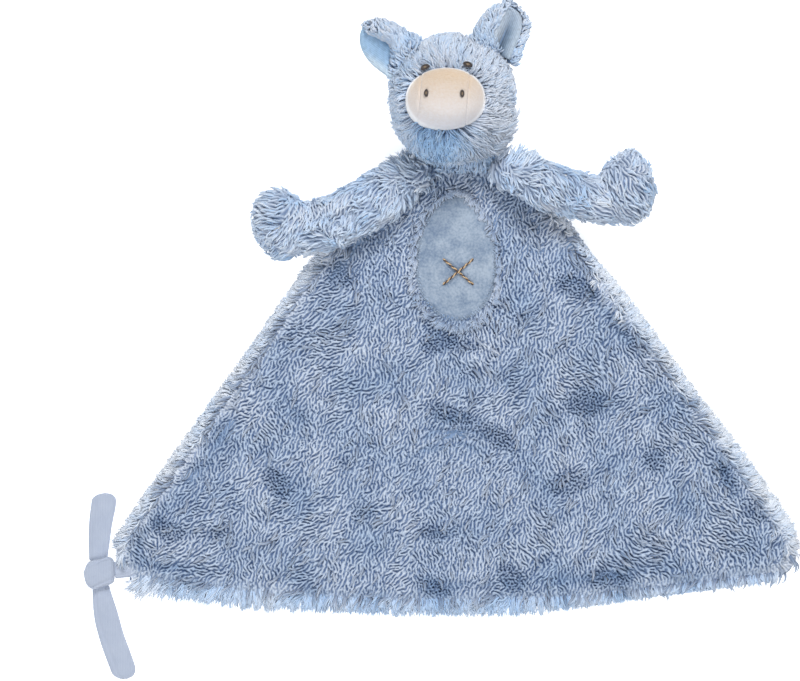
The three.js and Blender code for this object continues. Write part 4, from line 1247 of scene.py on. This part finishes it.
def arm_pressed(points, up, shoulder, worn_side, worn, worn_from):
    """How much an arm's pile is pressed flat: at the side of the paw, and along the arm's upper side."""
    from_shoulder = np.linalg.norm(points - shoulder, axis=1)
    upper = smooth(up[:, 1], 0.2, 0.7) * (1 - smooth(np.abs(from_shoulder - worn_from), 16 * mm, 26 * mm))
    return np.minimum(worn * smooth(unit(up[:, :2]) @ worn_side, 0.5, 0.9) + 0.65 * upper, 0.7)


def sewn_over(name, node, grow):
    """A smooth cloth skin round a node's solid, `grow` outside it."""
    skin_mesh = frame["nodes"][node].data.copy()
    skin_mesh.name = name
    piece = bpy.data.objects.new(name, skin_mesh)
    bpy.context.scene.collection.objects.link(piece)
    remesh = piece.modifiers.new("remesh", "REMESH")
    remesh.mode, remesh.voxel_size, remesh.use_smooth_shade = "VOXEL", 1.4 * mm, True
    soften = piece.modifiers.new("soften", "SMOOTH")
    soften.factor, soften.iterations = 0.5, 12
    swell = piece.modifiers.new("swell", "DISPLACE")
    swell.strength, swell.mid_level = grow, 0
    refine = piece.modifiers.new("refine", "SUBSURF")
    refine.levels = 2
    made = bpy.data.meshes.new_from_object(piece.evaluated_get(bpy.context.evaluated_depsgraph_get()))
    piece.modifiers.clear()
    piece.data = made
    made.materials.clear()
    made.materials.append(sherpa)
    return piece


arm_wear = (("left", (-0.85, -0.53), 0.7, 46 * mm), ("right", (0.9, 0.43), 0.15, 38 * mm))
for side, worn_side, worn, worn_from in arm_wear:
    cover = sewn_over(f"arm_{side}_plush", f"arm_{side}_stuffing", arm_depth - arm_pile)
    shoulder = np.array(joint_of(f"arm_{side}_lift")["pos_m"])
    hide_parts(f"arm_{side}_cover")
    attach(cover, f"arm_{side}")
    roots, up = sow(cover, per_mm2=1.1, dice=dice)
    from_neck = np.linalg.norm((roots - shoulder)[:, :2], axis=1)
    at_neck = (1 - smooth(from_neck, 6 * mm, 20 * mm)) * smooth(up[:, 1], 0, 0.6)
    shown = dice.random(len(roots)) < 0.22 + at_neck
    roots, up, at_neck = roots[shown], up[shown], at_neck[shown]
    lay = unit(arm_lay(roots, up, shoulder) + np.outer(at_neck, (0, 2.2, 0)))
    rise = 3.0 * mm * (1 - arm_pressed(roots, up, shoulder, worn_side, worn, worn_from))
    rings = curl_locks(roots, up, lay, (6 + 5 * at_neck) * mm, rise, width=1.3 * mm, wave=lock_wave,
                       tuft_size=6, dice=dice)
    tint = 0.5 + 0.14 * drift(roots, 15 * mm, 54) + 0.12 * dice.normal(size=len(roots))
    # The loose locks take the pile's paler copy, with painted light.
    add_locks(f"arm_{side}_fur", f"arm_{side}", rings, tint, painted_light_sherpa)
    points, up = corners_of(cover.data)
    curls = curls_over(points, up, arm_lay(points, up, shoulder), 58)
    lump = drift(points, 13 * mm, 14)
    crest = arm_depth * (1 - arm_pressed(points, up, shoulder, worn_side, worn, worn_from)) + 0.3 * mm * lump
    points = above_table(points + up * (crest - (1 - curls) * curl_relief)[:, None])
    cover.data.vertices.foreach_set("co", points.reshape(-1))
    cover.data.update()
    # The curls' tone is painted shade, dark in the gaps between them.
    dye_and_paint_shade(cover, 0.6 + 0.14 * drift(points, 15 * mm, 54) + 0.06 * lump, 0.1 + 0.86 * curls)
    fill(f"arm_{side}_stuffing", f"arm_{side}")

# The ribbon: a strip of cotton jersey whose cut edges have rolled in. One end is sewn into the blanket's
# corner. It is tied in a single knot that leaves two free tails, for a soother.
ribbon_half_width = 5.7 * mm
ribbon_half_thickness = 1.6 * mm
knot_half_height = 4.2 * mm
knot_middle = np.array([-hem_width * 0.5265, -hem_drop * 0.918, knot_half_height])
wale = 0.8 * mm

jersey, jersey_tree, jersey_shader = start_material(
    "cotton_jersey_blue", 0.85, Sheen_Weight=0.3, Sheen_Roughness=0.5)
jersey_where = add_node(jersey_tree, "ShaderNodeTexCoord").outputs["Object"]
jersey_wales = add_node(jersey_tree, "ShaderNodeTexWave", {
    "Vector": jersey_where, "Scale": band_spacing / wale, "Distortion": 2.0, "Detail": 2.0,
    "Detail Scale": 2.0})
jersey_tone = add_node(jersey_tree, "ShaderNodeTexNoise", {"Vector": jersey_where, "Scale": 1 / (6 * mm)})
jersey_share = add_node(jersey_tree, "ShaderNodeMix", {0: 0.7, 2: jersey_wales.outputs["Fac"],
                        3: jersey_tone.outputs["Fac"]})
jersey_colour = add_node(jersey_tree, "ShaderNodeMix", {0: jersey_share.outputs[0], 6: linear("#a3aec4"),
                         7: linear("#bcc5d5")}, data_type="RGBA")
jersey_bump = add_node(jersey_tree, "ShaderNodeBump", {"Height": jersey_wales.outputs["Fac"],
                       "Distance": 0.12 * mm, "Strength": 0.5})
jersey_tree.links.new(jersey_colour.outputs[2], jersey_shader.inputs["Base Color"])
jersey_tree.links.new(jersey_bump.outputs["Normal"], jersey_shader.inputs["Normal"])


def through(points, steps):
    """A smooth curve through points, as that many points."""
    points = np.asarray(points, float)
    ends = np.concatenate([[2 * points[0] - points[1]], points, [2 * points[-1] - points[-2]]])
    line = []
    for t in np.linspace(0, len(points) - 1, steps):
        k = min(int(t), len(points) - 2)
        u = t - k
        a, b, c, d = ends[k:k + 4]
        line.append(0.5 * (2 * b + (c - a) * u + (2 * a - 5 * b + 4 * c - d) * u ** 2
                           + (3 * b - a - 3 * c + d) * u ** 3))
    return np.array(line)


def tape(line, widths, skew=0, crease=0.3):
    """A flat, softly rolled strip along a line on the table. Its half widths run from its root to its end,
    which is cut a little aslant."""
    along = unit(np.gradient(line, axis=0))
    across = np.cross(along, (0, 0, 1))
    t = np.linspace(0, 1, len(line))
    length = np.linalg.norm(np.diff(line, axis=0), axis=1).sum()
    to_end = (1 - t) * length
    round_end = np.clip(1 - np.clip(1 - to_end / (1.1 * ribbon_half_width), 0, 1) ** 2.2, 0.002, 1) ** 0.5
    round_end *= np.clip(1 - np.clip(1 - t / 0.04, 0, 1) ** 2, 0.1, 1) ** 0.5
    wide = through([(w, 0, 0) for w in widths], len(line))[:, 0] * round_end
    thick = ribbon_half_thickness * np.minimum(1, round_end * 1.3)
    angles = np.linspace(0, 2 * math.pi, 44, endpoint=False)
    flat = np.sign(np.cos(angles)) * np.abs(np.cos(angles)) ** 0.7
    tall = np.sign(np.sin(angles)) * np.abs(np.sin(angles)) ** 0.9
    rings = []
    for k in range(len(line)):
        wander = 0.05 * math.sin(t[k] * 7)
        dent = np.exp(-((flat - 0.6 - wander) / 0.1) ** 2)
        dent += 0.6 * np.exp(-((flat + 0.7 + wander) / 0.09) ** 2)
        lean = along[k] * (flat * skew * wide[k] * smooth(t[k], 0.75, 1))[:, None]
        rise = np.outer((tall - crease * dent * (np.sin(angles) > 0)) * thick[k], (0, 0, 1))
        rings.append(line[k] + across[k] * (flat * wide[k])[:, None] + lean + rise)
    return skin([[line[0]]] + rings + [[line[-1]]])


def from_knot(*places):
    """Points on the table, given in millimetres across and away from the knot's middle."""
    return [(*(knot_middle[:2] + np.array(place) * mm), ribbon_half_thickness) for place in places]


upper_route = from_knot((-0.6, 4.8), (-0.2, 13.6), (0.6, 23.5), (2.0, 32.5), (2.5, 38.2))
lower_route = from_knot((0.2, -4.8), (3.0, -19.6), (5.9, -30.8), (9.7, -41.4), (13.2, -51.1))
tails = (("upper", upper_route, (0.74, 0.88, 0.98, 1.04, 1), 0.12),
         ("lower", lower_route, (0.66, 1, 1.04, 1.05, 1), -0.15))
for name, route, shares, skew in tails:
    widths = [share * ribbon_half_width for share in shares]
    tail = add_piece(f"ribbon_{name}_jersey", *tape(through(route, 64), widths, skew), jersey)
    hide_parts(f"ribbon_{name}_tail")
    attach(tail, f"{name}_tail")

# The knot: one turn of the same ribbon, pulled tight and aslant round the tails' roots.
# It has a fold along each lip.
knot_line = through([(*place, 0) for place in (
    (-7.6, 0.2), (-5.2, 5.0), (0.4, 6.6), (4.6, 7.6), (7.2, 5.2), (7.4, -2.6), (6.2, -5.2), (1.6, -6.6),
    (-3.0, -7.9), (-6.2, -5.4), (-7.6, 0.2))], 73)[:-1, :2] * mm
lip_slope = 0.42
knot_folds = ((5.2, 0.55, 0.9), (2.0, 0.7, 0.25), (-1.4, 0.6, 0.3), (-5.6, 0.55, 0.9))
knot_rings = []
for tilt in np.radians(np.linspace(8, 172, 26)):
    reach = (1 - abs(math.cos(tilt)) ** 3) ** (1 / 3)
    flat = knot_line * reach
    above = flat[:, 1] - lip_slope * flat[:, 0]
    folds = sum(depth * np.exp(-((above - at * mm) / (wide * mm)) ** 2) for at, wide, depth in knot_folds)
    height = knot_half_height * math.cos(tilt) - folds * mm * (math.cos(tilt) > -0.3)
    knot_rings.append(np.column_stack([knot_middle[:2] + flat, knot_middle[2] + height]))
knot_top, knot_foot = ([knot_middle + (0, 0, knot_half_height * side)] for side in (1, -1))
knot = add_piece("ribbon_knot_jersey", *skin([knot_top, *knot_rings, knot_foot]), jersey)
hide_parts("ribbon_knot")
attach(knot, "knot")

# The tab: the sewn end of the ribbon, between the knot and the blanket's corner seam.
# The pile hides a part of it.
tab_line = through([(tab_low[0] - 0.4 * mm, tab_middle[1] - 0.6 * mm, tab_middle[2]), tab_middle,
                    (tab_high[0], tab_middle[1] + 0.9 * mm, tab_middle[2])], 20)
tab = add_piece("ribbon_tab_jersey", *tape(tab_line, [0.7 * ribbon_half_width] * 3, crease=0.15), jersey)
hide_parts("ribbon_tab")
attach(tab, "blanket")
